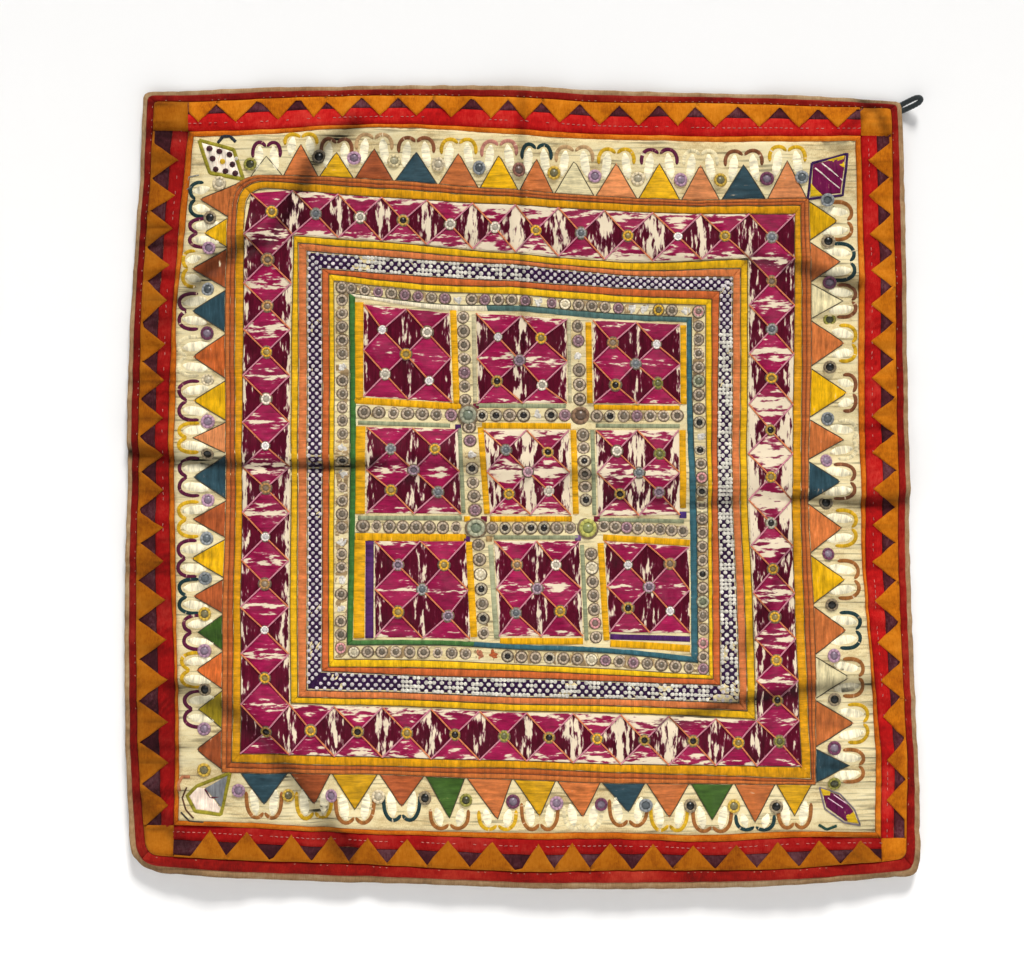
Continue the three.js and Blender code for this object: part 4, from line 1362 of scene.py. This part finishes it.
def scatter_tree(name, shape):
    """A tree that sets one shape at each point, by its 'facing' and 'size' marks."""
    tree, given, out = new_group(name, "GeometryNodeTree", {"Guide": "Geometry",
                                 "Material": "Material"}, {"Made": "Geometry"})
    marks = [put(tree, "GeometryNodeInputNamedAttribute", {"Name": key},
                 data_type="FLOAT_VECTOR").outputs[0] for key in ("facing", "size")]
    turn = put(tree, "FunctionNodeEulerToRotation", {0: marks[0]}).outputs[0]
    points = put(tree, "GeometryNodeMeshToPoints", {0: given.outputs["Guide"]}).outputs[0]
    placed = put(tree, "GeometryNodeInstanceOnPoints", {"Points": points, "Instance": shape(tree),
                 "Rotation": turn, "Scale": marks[1]}).outputs[0]
    close_tree(tree, given, out, placed)
    return tree


def ring_shape(tree):
    circle = put(tree, "GeometryNodeCurvePrimitiveCircle", {0: 16, 4: 1.0 * MM}).outputs[0]
    return sweep(tree, circle, 6, radius=0.28 * MM)


def glass_shape(tree):
    return put(tree, "GeometryNodeMeshCylinder", {"Vertices": 14, "Radius": MM,
                                                  "Depth": MM}).outputs[0]


def bead_shape(tree):
    return put(tree, "GeometryNodeMeshUVSphere", {"Segments": 8, "Rings": 5,
                                                  "Radius": MM}).outputs[0]


RING_TREE = scatter_tree("buttonhole rings", ring_shape)
GLASS_TREE = scatter_tree("glass", glass_shape)
STITCH_TREE = scatter_tree("short stitches", bead_shape)


class Scatter:
    """Small shapes to be set on the cloth, gathered for one run of a tree."""

    def __init__(self, seed):
        self.spots, self.sizes, self.thread = [], [], []
        self.rng = np.random.default_rng(seed)

    def add(self, place, height, size, code, turn=0.0, uneven=0.06):
        self.spots.append((*place, height, turn + self.rng.normal(0, uneven)))
        self.sizes.append([s * self.rng.uniform(1 - uneven, 1 + uneven) for s in size])
        self.thread.append(colour(code))

    def finish(self, name, tree, material, keep=sew):
        x, z, height, turn = np.array(self.spots).T
        shade = np.array(self.thread)
        shade[:, :3] *= self.rng.uniform(0.78, 1.15, (len(shade), 1))
        marks = {"facing": facing(x, z, turn), "size": self.sizes,
                 "thread": np.clip(darkened_by_dust_and_shade(shade, x, z), 0, 1)}
        keep(grow(name, on_cloth(x, z, height), [], marks, tree, Material=material))


RING_FOOT_SHADE = "74624A"
ROW_FILLING_AND_SHADE = "A08660"  # open stitches between the mirrors of a row, their brown partly painted shade round the mirrors
RUBBED = {"w": "F2EBE0", "s": "C97C58", "o": "C4602C"}
FILLING_PROFILE = ((0, 2.2), (0.04, 2.6), (0.5, 2.65), (0.96, 2.6), (1, 2.2))
FOOT_WIDER, FOOT_THICK = 1.2, 2.2  # the painted shade round a ring's foot, against the ring itself
RING_LIFT, RING_THICK = 0.35, 0.8
GLASS_LIFT, GLASS_WIDTH, GLASS_THICK = 0.2, 0.98, 0.7
ROW_RADIUS, SASH_RADIUS, LARGE_RADIUS, CELL_RADIUS, WHITE_RADIUS = 4.2, 4.5, 7.2, 4.3, 3.4
LILAC_WIDER = 1.15
CELL_HEIGHT = 3.4  # of the mirrors on the magenta silk
PATCH_STITCHES, PATCH_SPREAD, PATCH_STITCH = 7, 1.6, (3.0, 1.6, 0.5)
SASH_WIDTH = 12.5

rings, glasses, rubbed = Scatter(71), Scatter(72), Scatter(73)


def set_mirror(place, radius, ring_code, glass_code, height=CENTRE_TOP):
    """One piece of glass under its ring, with painted shade round its foot; the radius is
    the ring's middle.
    """
    foot, glass = radius * FOOT_WIDER, radius * GLASS_WIDTH
    # a wider dark ring under the ring: painted shade round its foot
    rings.add(place, height, (foot, foot, FOOT_THICK), RING_FOOT_SHADE)
    rings.add(place, height + RING_LIFT, (radius, radius, radius * RING_THICK), ring_code)
    glasses.add(place, height + GLASS_LIFT, (glass, glass, GLASS_THICK), glass_code)


def set_cell_mirror(place, kind):
    radius = WHITE_RADIUS if kind == "w" else CELL_RADIUS
    set_mirror(place, radius, *CELL_RINGS[kind], height=CELL_HEIGHT)


def set_row(places, kinds, radius):
    """A row of mirrors, with a rubbed patch where one is lost."""
    for place, kind in zip(places, kinds):
        if kind in MIRROR_KINDS:
            set_mirror(place, radius * (LILAC_WIDER if kind == "l" else 1), *MIRROR_KINDS[kind])
        else:
            for _ in range(PATCH_STITCHES):
                spot = np.array(place) + rubbed.rng.normal(0, PATCH_SPREAD, 2)
                rubbed.add(spot, CENTRE_TOP, PATCH_STITCH, RUBBED[kind],
                           turn=1.57 * rubbed.rng.integers(2), uneven=0.3)


def glass_material():
    material, tree, surface = new_material("old mirror glass", 0.3, gloss=0.4)
    light = maths(tree, "MULTIPLY_ADD", clouds(tree, object_place(tree), 380.0, 3.0), 1.3, 0.3)
    finish_surface(tree, surface, lit(tree, light, mark(tree, "thread", "Color")))
    return material


def lay_ribbon(work, path, width, profile, code, worn=-0.6, step=2.5, taper=0.0):
    """Satin stitch along a free line, with the given section across it."""
    path = np.asarray(path, dtype=float)
    reach = reach_along(path)
    even = np.linspace(0, reach[-1], max(3, round(reach[-1] / step) + 1))
    spots = np.stack([np.interp(even, reach, path[:, k]) for k in (0, 1)], axis=-1)
    ahead = np.gradient(spots, axis=0)
    ahead /= np.linalg.norm(ahead, axis=1)[:, None]
    over = np.stack([ahead[:, 1], -ahead[:, 0]], axis=-1)
    ends = np.minimum(even, reach[-1] - even) / (width * 0.6)
    wide = width * (1 - taper * (1 - np.clip(ends, 0, 1)))
    shift = own_stitches()
    loops, uv = [], []
    for across, height in profile:
        spot = spots + over * ((across - 0.5) * wide)[:, None]
        loops.append(on_cloth(*spot.T, height))
        uv.append(np.stack([width * across + shift[0] + 0 * even, even + shift[1]], axis=-1))
    work.add_sections(np.stack(loops, axis=1), np.stack(uv, axis=1),
                      thread=colour(code), worn=worn)


# the rows' filling: stitches, their brown partly painted shade round the mirrors
beds = Work()
MIRROR_ROW = ("gold_inner", "row_inner")
for side in SIDES:
    lay_ring_strip(beds, MIRROR_ROW, 0.06, 0.97, side, FILLING_PROFILE, step=3, gather=0.3,
                   seed=77, thread=colour(ROW_FILLING_AND_SHADE), worn=0.45)
for start, stop, kinds in SASHES:
    lay_ribbon(beds, (start, stop), SASH_WIDTH, FILLING_PROFILE, ROW_FILLING_AND_SHADE, worn=0.45, step=3)
sew(beds.finish("row_filling_and_shade", FLOSS_SILK))
for side, (first, last), kinds in MIRROR_ROWS:
    places = np.linspace(first, last, len(kinds))
    set_row([side_point(ring_line(*MIRROR_ROW, 0.52), side, p) for p in places], kinds,
            ROW_RADIUS)
for start, stop, kinds in SASHES:
    set_row(np.linspace(start, stop, len(kinds)), kinds, SASH_RADIUS)
for place, ring_code, glass_code in LARGE_MIRRORS:
    set_mirror(place, LARGE_RADIUS, ring_code, glass_code)
for side, kinds in CELL_MIRRORS.items():
    for cell, kind in zip(BAND[side][0], kinds):
        set_cell_mirror(cell[2], kind)
for spot, kind in zip(CORNER_CELLS, CORNER_MIRRORS):
    set_cell_mirror(spot, kind)
for (_, middles, _), kinds in zip(PANELS, PANEL_MIRRORS):
    for spot, kind in zip([*middles, np.mean(middles, axis=0)], kinds):
        set_cell_mirror(spot, kind)
RING_THREAD = twisted("buttonhole stitch", 0.0007, depth=0.7)
rings.finish("buttonhole_rings", RING_TREE, RING_THREAD)
OLD_GLASS = glass_material()
glasses.finish("mirror_pieces", GLASS_TREE, OLD_GLASS)
rubbed.finish("rubbed_patches", STITCH_TREE, twisted("rubbed cotton", 0.0008))


# ---------------------------------------------------------------------------------------------
# Bars and squares: the panels are parted by bars of mustard, grey-green and purple satin stitch,
# with a small square in several of the corners where they meet.

MUSTARD, GREY_GREEN, PURPLE, CREAM = "DDA20E", "8F9474", "4C245C", "B9AF8C"
BARS = (  # from, to, width, colour
    ((-161, -213), (-161.5, -311), 9.5, MUSTARD), ((-166, -311), (-63, -317.5), 7.5, MUSTARD),
    ((-67, -221), (-63.5, -314), 7, MUSTARD), ((-46.5, -225), (-45, -313), 4.5, CREAM),
    ((49, -229), (50, -313), 4, CREAM), ((68.5, -233), (70, -314), 6.5, MUSTARD),
    ((163.5, -236), (164, -315), 6.5, MUSTARD), ((74, -318), (160, -319), 5.5, MUSTARD),
    ((-44, -316.5), (46, -317), 4.5, GREY_GREEN), ((-162, -333.5), (-70, -336.5), 4.5, GREY_GREEN),
    ((-38, -336.5), (51, -337), 6.5, MUSTARD), ((76, -336.5), (160, -337), 4.5, GREY_GREEN),
    ((-159.5, -337), (-160, -425), 10.5, MUSTARD), ((-60.5, -339), (-56.5, -424), 4.5, GREY_GREEN),
    ((-39.5, -338), (-33, -425), 6.5, MUSTARD), ((53.5, -341), (56, -425), 6.5, MUSTARD),
    ((72.5, -341), (74.5, -426), 4.5, GREY_GREEN), ((163, -341), (163, -419), 7, MUSTARD),
    ((-162, -429), (-58, -429), 5, GREY_GREEN), ((-30, -430), (52, -430), 6, MUSTARD),
    ((-26, -448.5), (58, -448.5), 4.5, GREY_GREEN),
    ((78, -430.5), (164, -432.5), 4.5, GREY_GREEN), ((-165, -448), (-54, -449), 8.5, MUSTARD),
    ((83, -448.5), (170, -454), 7, MUSTARD), ((-160.5, -451), (-161, -549), 12, MUSTARD),
    ((-150.5, -452), (-150.5, -549), 9, PURPLE), ((-51.5, -453), (-46, -548), 7.5, MUSTARD),
    ((-29.5, -456), (-23.5, -549), 5.5, "A6A886"), ((62, -456), (66.5, -551), 4.5, GREY_GREEN),
    ((80.5, -454), (86.5, -551), 6.8, MUSTARD), ((-20, -552), (63, -552), 7, MUSTARD),
    ((90, -547.5), (170, -550), 6, PURPLE), ((90, -554), (170, -559.5), 7.5, MUSTARD),
)
SMALL_SQUARES = (  # middle, side, colour
    ((-62, -317), 6, MUSTARD), ((-44, -317), 6, "6A1830"), ((-62, -338), 6, PURPLE),
    ((-53, -430), 6, MUSTARD), ((-36, -430), 6, "6A1830"), ((-53, -450), 6, PURPLE),
    ((-31, -450), 6, "B09060"), ((77, -430), 6, "6A1830"), ((58, -449), 6, "7A5A86"),
    ((163, -426), 7, "4A3070"),
)
BAR_PROFILE = ((0, 2.3), (0.06, 3.0), (0.25, 3.5), (0.5, 3.7), (0.75, 3.5), (0.94, 3.0), (1, 2.3))

bars = Work()
for start, stop, width, code in BARS:
    lay_ribbon(bars, (start, stop), width, BAR_PROFILE, code, worn=-0.45, step=4)
for (x, z), side, code in SMALL_SQUARES:
    lay_ribbon(bars, ((x - side / 2, z), (x + side / 2, z)), side, BAR_PROFILE, code, step=2)
sew(bars.finish("satin_stitched_bars", FLOSS_SILK))


# ---------------------------------------------------------------------------------------------
# Checked strip: a band filled with dark purple, and white cotton worked over every other
# square of it. More of the white is left where the purple has rotted away.

CHECK = 3.9
CHECK_ROWS = 4
CHECK_BAND = ("check_outer", "check_inner")
WHITE_CHECK, PALE_CHECK = (2.1, "ECE2E2"), (2.3, "F4EEE0")  # half width, colour
CHECK_PROFILE = ((0, 2.3), (0.05, 2.85), (0.5, 2.95), (0.95, 2.85), (1, 2.3))
PALE_STRETCHES = {  # where along each side the white has spread
    "top": ((-165, 10),), "right": ((-650, -240),), "bottom": ((-120, 190),), "left": (),
}
checks = Work()
for side in SIDES:
    lay_ring_strip(checks, CHECK_BAND, 0.05, 0.97, side, CHECK_PROFILE, step=5,
                   thread=colour("2E1238"), worn=-0.5)
sew(checks.finish("purple_filling", FLOSS_SILK))
blobs = Scatter(81)
for side in SIDES:
    along = side_axis(side)
    for k in range(CHECK_ROWS):
        row = ring_line(*CHECK_BAND, (k + 0.5) / CHECK_ROWS)
        ends = sorted((row(side, 0.0)[along], row(side, 1.0)[along]))
        for j in range(math.ceil(ends[0] / CHECK + 0.3), int(ends[1] / CHECK - 0.3) + 1):
            spot = side_point(row, side, j * CHECK)
            pale = any(low < spot[along] < high for low, high in PALE_STRETCHES[side])
            if (j + k) % 2 and not (pale and blobs.rng.random() < 0.35):
                continue
            size, code = PALE_CHECK if pale else WHITE_CHECK
            blobs.add(spot, 2.95, (size, size * 0.95, 0.8), code, uneven=0.12)
blobs.finish("white_checks", STITCH_TREE, twisted("white cotton", 0.0008))


# ---------------------------------------------------------------------------------------------
# Toran border: satin-stitched triangles pointing out from the stripes on all four sides, each
# outlined and crowned with a pair of hooks, with a small mirror in each dip between them.

SILKS = {"s": "C46E38", "y": "D8A40C", "Y": "BC8C0C", "t": "A4522A", "T": "2C4650", "G": "38561E",
         "i": "E2D4A6", "o": "A08A1C", "O": "C8642C", "l": "D28450"}
HOOK_SILKS = {"p": "5A1838", "y": "CCA01C", "b": "7E4C30", "f": "B89468",
              "i": "E4D6AC", "G": "1C3638", "t": "98602F", "k": "B87A6A", "-": None}
TORANS = {  # where the triangles meet, their colours, heights and hooks, the mirrors at the feet
    "top": ((-270, -237, -201, -166, -126, -82, -41, -1, 34, 75, 118, 161, 201, 247, 288),
            "isytTsysilylTl", (19, 32, 25, 31, 31, 33, 34, 33, 34, 34.5, 36, 36, 35, 38),
            "pybfbykGfypiby", "--dpfigbypipym-"),
    "left": ((-91, -128.5, -158.5, -200, -244, -290.5, -332.5, -365, -411, -449.5, -489.5, -525,
              -562, -601, -640, -681),
             "sytTOylTtytGOot", (30, 24, 35, 33, 33, 33, 33, 33, 33, 33, 30, 25, 27, 24, 26),
             "GpypipypypGpyp-", "idpgmipdpggypdpy"),
    "right": ((-111, -152, -193.5, -230, -278, -329.5, -371.5, -413.5, -465, -516, -566.5, -610,
               -658.5, -694),
              "ysisysTsysisT", (29, 30, 32, 33, 37, 36, 33, 34, 33, 32, 34, 39, 34),
              "tGbybibytGtyt", "gdmodgpdmdpdmo"),
    "bottom": ((-280, -231, -188.5, -141.5, -95, -54, -7, 36.5, 81, 125.5, 170, 213.5, 255.5, 292),
               "TtYtGsYsTsGsY", (32, 32, 36, 32, 42, 41, 36, 36, 30, 34, 36, 38, 31),
               "tytGtytitytGt", "-ypidompmgdyd-"),
}
LEANS = {"bottom": (0, 4, 0, 0, 4, 8, 5, 4, 5, 1, 0, 0, 0)}  # points that lean to one side
MORE_FEET = (((-270, -75), "o"), ((282, -88), "g"), ((-281, -701), "p"))  # beside the corners
HOOKS = {  # half of a pair, from the outer leg to the point: along, out
    "top": ((-17.5, -1), (-17.6, 5), (-14.6, 10.4), (-9.6, 12.4), (-4.6, 11.5), (-0.9, 8.6)),
    "right": ((-18, -6), (-18.5, 1), (-17, 7), (-13, 11.2), (-8, 12.4), (-3.8, 11.3), (-0.9, 8.6)),
    "bottom": ((-18.4, -12), (-18.2, -4), (-16.8, 4), (-13, 9.8), (-8.2, 11.8), (-3.8, 10.2),
               (-0.9, 6.8)),
    "left": ((-18.5, -5.5), (-19, 1.5), (-17, 8), (-12.8, 12), (-7.5, 12.3), (-3, 9.8),
             (-0.6, 5.5)),
}
HOOK_WIDTH = 4.2
PETAL = ((-8.4, 9), (-9.1, 4), (-10, -2), (-11.2, -8), (-12.6, -14))  # padded inside a hook
PETAL_WIDTH, PETAL_SILK = 10.6, "F8EECC"
HOOK_ROOM = 13.0  # from a triangle's tip to the piping, where a hook has its full height
HOOK_PROFILE = ((0, 2.4), (0.08, 2.9), (0.3, 3.25), (0.7, 3.25), (0.92, 2.9), (1, 2.4))
PETAL_PROFILE = ((0, 2.3), (0.1, 2.7), (0.3, 3.4), (0.7, 3.4), (0.9, 2.7), (1, 2.3))
TORAN_OUTLINE, TORAN_LINE_SIZE = "443C2A", 0.5
FEET_OUT, FEET_APART = 0.5, 0.03  # of a triangle: off the stripe, and in from where two meet
TALLEST_HOOK, HOOK_CLEAR = 1.12, 2  # how far a hook is drawn out, and its gap to the piping
WIDE_TRIANGLE = 40  # from this width on, its hooks have their full width
SMALL_RING, SMALL_GLASS = (5.4, 5.4, 4.2), (5.2, 5.2, 0.9)
FOOT_HEIGHTS = {"top": 20, "right": 18.5, "bottom": 22, "left": 18}
FOOT_RINGS = {  # ring, glass
    "y": ("C9A43A", "7A7250"), "o": ("9A9440", "4A4A30"), "g": ("8C9092", "5E666A"),
    "d": ("8A7A60", "1E1E1C"), "p": ("B08AA0", "8E7A8C"), "m": ("6A3450", "8A7A8A"),
    "i": ("DCCBA8", "C0B49A"), "f": ("CDBD92", "B0A888"), "b": ("A06A5A", "7A6258"),
}


def from_line(line, side, place, out):
    """A place on a line, moved straight out from the middle of the hanging."""
    return side_point(line, side, place) + np.array(SIDES[side][2], dtype=float) * out


def beside_tip(line, tip, run, way, wide, high):
    """A hook's or a petal's line at the tip of its triangle: along the side, and out from it."""
    route = [tip + run * u * wide + way * v * high for u, v in line]
    return curve_through(np.insert(route, 1, 0, axis=1), 16)[0][:, [0, 2]]


torans, hooks, toran_lines, small_mirrors = Work(), Work(), Lines(), []
for side, (bounds, silks, heights, curls, feet) in TORANS.items():
    base = ring("toran_base")
    along = side_axis(side)
    way = np.array(SIDES[side][2], dtype=float)
    run = np.abs(way[::-1])
    for k, (a, b) in enumerate(zip(bounds, bounds[1:])):
        left, right = from_line(base, side, a, FEET_OUT), from_line(base, side, b, FEET_OUT)
        lean = LEANS[side][k] if side in LEANS else 0
        tip = from_line(base, side, (a + b) / 2, heights[k]) + run * lean
        corners = (left + (right - left) * FEET_APART, tip, right + (left - right) * FEET_APART)
        lay_pad(torans, corners, along == 1, SILKS[silks[k]], -0.45, parts=8)
        toran_lines.add(corners, OUTLINE_HEIGHT, TORAN_LINE_SIZE, TORAN_OUTLINE, step=6)
        if HOOK_SILKS[curls[k]]:
            room = np.abs(side_point(centre_edge, side, (a + b) / 2)[1 - along] - tip[1 - along])
            high = min(TALLEST_HOOK, (room - HOOK_CLEAR) / HOOK_ROOM)
            wide = min(1.0, abs(b - a) / WIDE_TRIANGLE) * pad_seeds.uniform(0.94, 1.04)
            for half in (wide, -wide):
                lay_ribbon(hooks, beside_tip(PETAL, tip, run, way, half, high), PETAL_WIDTH,
                           PETAL_PROFILE, PETAL_SILK, step=2.6, taper=0.75)
                lay_ribbon(hooks, beside_tip(HOOKS[side], tip, run, way, half, high), HOOK_WIDTH,
                           HOOK_PROFILE, HOOK_SILKS[curls[k]], worn=-0.15, step=2.2, taper=0.6)
    for place, kind in zip(bounds, feet):
        if kind != "-":
            small_mirrors.append((from_line(base, side, place, FOOT_HEIGHTS[side]), kind))
small_mirrors += MORE_FEET
sew(torans.finish("toran_triangles", FLOSS_SILK))
sew(hooks.finish("toran_hooks", FLOSS_SILK))
toran_lines.finish("toran_outlines", 6, COUCHED_SILK)
small_rings, small_glasses = Scatter(91), Scatter(92)
for place, kind in small_mirrors:
    small_rings.add(place, 3.7, SMALL_RING, FOOT_RINGS[kind][0])
    small_glasses.add(place, 3.6, SMALL_GLASS, FOOT_RINGS[kind][1])
small_rings.finish("toran_mirror_rings", RING_TREE, RING_THREAD)
small_glasses.finish("toran_mirror_pieces", GLASS_TREE, OLD_GLASS)


# ---------------------------------------------------------------------------------------------
# Corner motifs: a small shape in each corner of the ivory, each outlined and filled in its own
# way: dark dots round a yellow one, a banded kite, a patch in two colours and a long leaf.

OLIVE = "8E8426"
MOTIF_FILLS = (  # corners, clockwise, colour, threads upright
    (((-320, -52), (-288, -62), (-279, -88), (-310, -81)), "EFE0CE", True),
    (((293, -75), (326, -66), (321, -104), (291, -108)), "6A1244", True),
    (((306, -69.5), (325, -65.5), (324.5, -79)), "E0B818", False),
    (((291, -94), (303, -106.5), (290, -108)), "E0B818", False),
    (((-292, -686), (-298.5, -719), (-315, -699)), "84868A", True),
    (((-315, -699), (-299, -720), (-301, -724), (-324, -720), (-331, -707), (-323, -698)),
     "F0DAC8", True),
    (((301, -700), (318, -705), (332, -720), (337, -733), (324, -731), (305, -717)), "5E1240",
     True),
    (((300, -698), (310, -700), (310, -706), (302, -706)), "DDB41C", False),
    (((322, -724), (333, -722), (338, -734), (327, -732)), "DDB41C", False),
)
MOTIF_LINES = (  # path, width, colour
    (((-322, -50), (-287, -60), (-277, -90), (-311, -83), (-322, -50)), 4.2, OLIVE),
    (((292, -74), (328, -64), (323, -106), (288, -110), (292, -74)), 2.8, "35184A"),
    (((295, -79), (320, -99)), 2.2, "EADBD0"), (((302, -74), (323, -91)), 2.0, "EADBD0"),
    (((-289.5, -683.5), (-299, -725.5), (-325, -722), (-333, -707), (-323, -697),
      (-289.5, -683.5)), 3.8, OLIVE),
    (((-315, -700), (-310, -709), (-301, -708)), 2.2, "5A2030"),
    (((-333, -698), (-338, -709), (-334, -721), (-326, -729)), 1.8, "5A3A28"),
    (((299, -698), (319, -704), (334, -720), (340, -736), (324, -733), (304, -719), (299, -698)),
     1.8, "7A7078"),
    (((307, -708), (322, -718)), 1.8, "E6C2D0"), (((313, -705), (326, -714)), 1.6, "E6C2D0"),
    (((-303, -53), (-298, -46.5), (-291, -46), (-285, -52)), 3.6, "2A2E38"),
    (((-329, -97), (-336, -101), (-332, -87), (-322, -85)), 1.2, "8A8A86"),
    (((-330, -688), (-338, -688), (-342, -695), (-340, -702)), 3.4, "B47450"),
    (((-339, -723), (-330, -732), (-316, -733)), 1.8, "3A3430"),
    (((298, -735), (306, -740), (316, -736)), 3.2, "24443A"),
)
DOTS = (  # place, radius, colour: all in the first motif
    *((place, 3.3, "45101E") for place in (
        (-311, -59), (-301, -62), (-291, -65), (-308, -69), (-288, -75), (-305, -79.5),
        (-295, -81.5), (-285, -84))),
    ((-298, -72), 3.0, "DDB014"), ((-284, -69), 2.0, "EBE2D0"),
)
motifs = Work()
for corners, code, upright in MOTIF_FILLS:
    lay_pad(motifs, corners, upright, code, -0.2)
for path, width, code in MOTIF_LINES:
    lay_ribbon(motifs, path, width, BAR_PROFILE, code, step=2)
sew(motifs.finish("corner_motifs", FLOSS_SILK))
dots = Scatter(95)
for place, radius, code in DOTS:
    dots.add(place, 3.5, (radius, radius, 1.0), code)
dots.finish("motif_dots", STITCH_TREE, twisted("knotted silk", 0.0009))


# ---------------------------------------------------------------------------------------------
# Running stitches: white cotton along the red strip, and a finer row that holds the binding's
# seam. Some are lost, in patches.

RUNNING = (  # two lines, the row's place between them, length and pitch of a stitch, half
    # its width, colour, height, share lost on each side
    (maroon_edge, red_edge, 0.55, 3.6, 5.2, 0.34, "D89488", 2.9, (0.35, 0.55, 0.3, 0.85)),
    (binding_outer, binding_seam, 0.82, 2.0, 6.5, 0.3, "C89A80", 3.2, (0.3, 0.8, 0.8, 0.8)),
)
running = Scatter(97)
for outer, inner, place, long, pitch, half, code, height, lost in RUNNING:
    for number, side in enumerate(SIDES):
        row = between(outer, inner, place)
        length = float(np.linalg.norm(row(side, 1.0) - row(side, 0.0)))
        for k in range(1, int(length / pitch)):
            here, ahead = row(side, k * pitch / length), row(side, (k * pitch + 1) / length)
            patch = 0.5 + 0.5 * hills(k / 9, number + 0.5, 98)
            if running.rng.random() < lost[number] * 2 * patch:
                continue
            turn = math.atan2(ahead[1] - here[1], ahead[0] - here[0])
            running.add(here, height, (long / 2, half, 0.4), code, turn=turn, uneven=0.12)


def sew_to_ground(piece):
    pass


running.finish("running_stitches", STITCH_TREE, twisted("sewing cotton", 0.0008), sew_to_ground)


# ---------------------------------------------------------------------------------------------
# Studio: a white wall behind, a pale floor below, a soft key light high above, and daylight.

WALL_BEHIND = 6.6
FLOOR_AT, WALL_TOP, HALF_WIDE, FLOOR_FRONT = -1.05, 2.5, 3, -4  # in metres


def stage_plane(name, corners, code):
    """A plane of one colour that is clear from behind."""
    material, tree, surface = new_material(name, 0.9)
    surface.inputs["Base Color"].default_value = colour(code)
    clear = put(tree, "ShaderNodeBsdfTransparent").outputs[0]
    back = put(tree, "ShaderNodeNewGeometry").outputs["Backfacing"]
    mix = put(tree, "ShaderNodeMixShader", {"Fac": back, 1: surface.outputs[0], 2: clear})
    tree.links.new(mix.outputs[0], tree.nodes["Material Output"].inputs["Surface"])
    mesh = bpy.data.meshes.new(name)
    mesh.from_pydata(corners, [], [(0, 1, 2, 3)])
    mesh.materials.append(material)
    plane = bpy.data.objects.new(name, mesh)
    bpy.context.scene.collection.objects.link(plane)


wall_y = WALL_BEHIND * MM
foot_left, foot_right = (-HALF_WIDE, wall_y, FLOOR_AT), (HALF_WIDE, wall_y, FLOOR_AT)
stage_plane("wall", [foot_left, foot_right, (HALF_WIDE, wall_y, WALL_TOP),
                     (-HALF_WIDE, wall_y, WALL_TOP)], "FCFCFD")
stage_plane("floor", [(-HALF_WIDE, FLOOR_FRONT, FLOOR_AT), (HALF_WIDE, FLOOR_FRONT, FLOOR_AT),
                      foot_right, foot_left], "F2F2F2")

key_data = bpy.data.lights.new("key", "SUN")
key_data.energy = 3.2
key_data.angle = math.radians(15)
key_data.color = (1.0, 0.98, 0.94)
key = bpy.data.objects.new("key", key_data)
key.rotation_euler = Vector((0.14, -0.5, 0.86)).to_track_quat("Z", "Y").to_euler()
bpy.context.scene.collection.objects.link(key)

world = bpy.data.worlds.new("daylight")
bpy.context.scene.world = world
world.use_nodes = True
sky = world.node_tree
dome = sky.nodes["Background"]
dome.inputs["Color"].default_value = (0.93, 0.96, 1.0, 1.0)
dome.inputs["Strength"].default_value = 0.22
plain = put(sky, "ShaderNodeBackground", {"Color": (1, 1, 1, 1), "Strength": 1.0})
path = put(sky, "ShaderNodeLightPath")
seen = maths(sky, "MAXIMUM", path.outputs["Is Camera Ray"], path.outputs["Is Transmission Ray"])
both = put(sky, "ShaderNodeMixShader", {"Fac": seen, 1: dome.outputs[0], 2: plain.outputs[0]})
sky.links.new(both.outputs[0], sky.nodes["World Output"].inputs["Surface"])
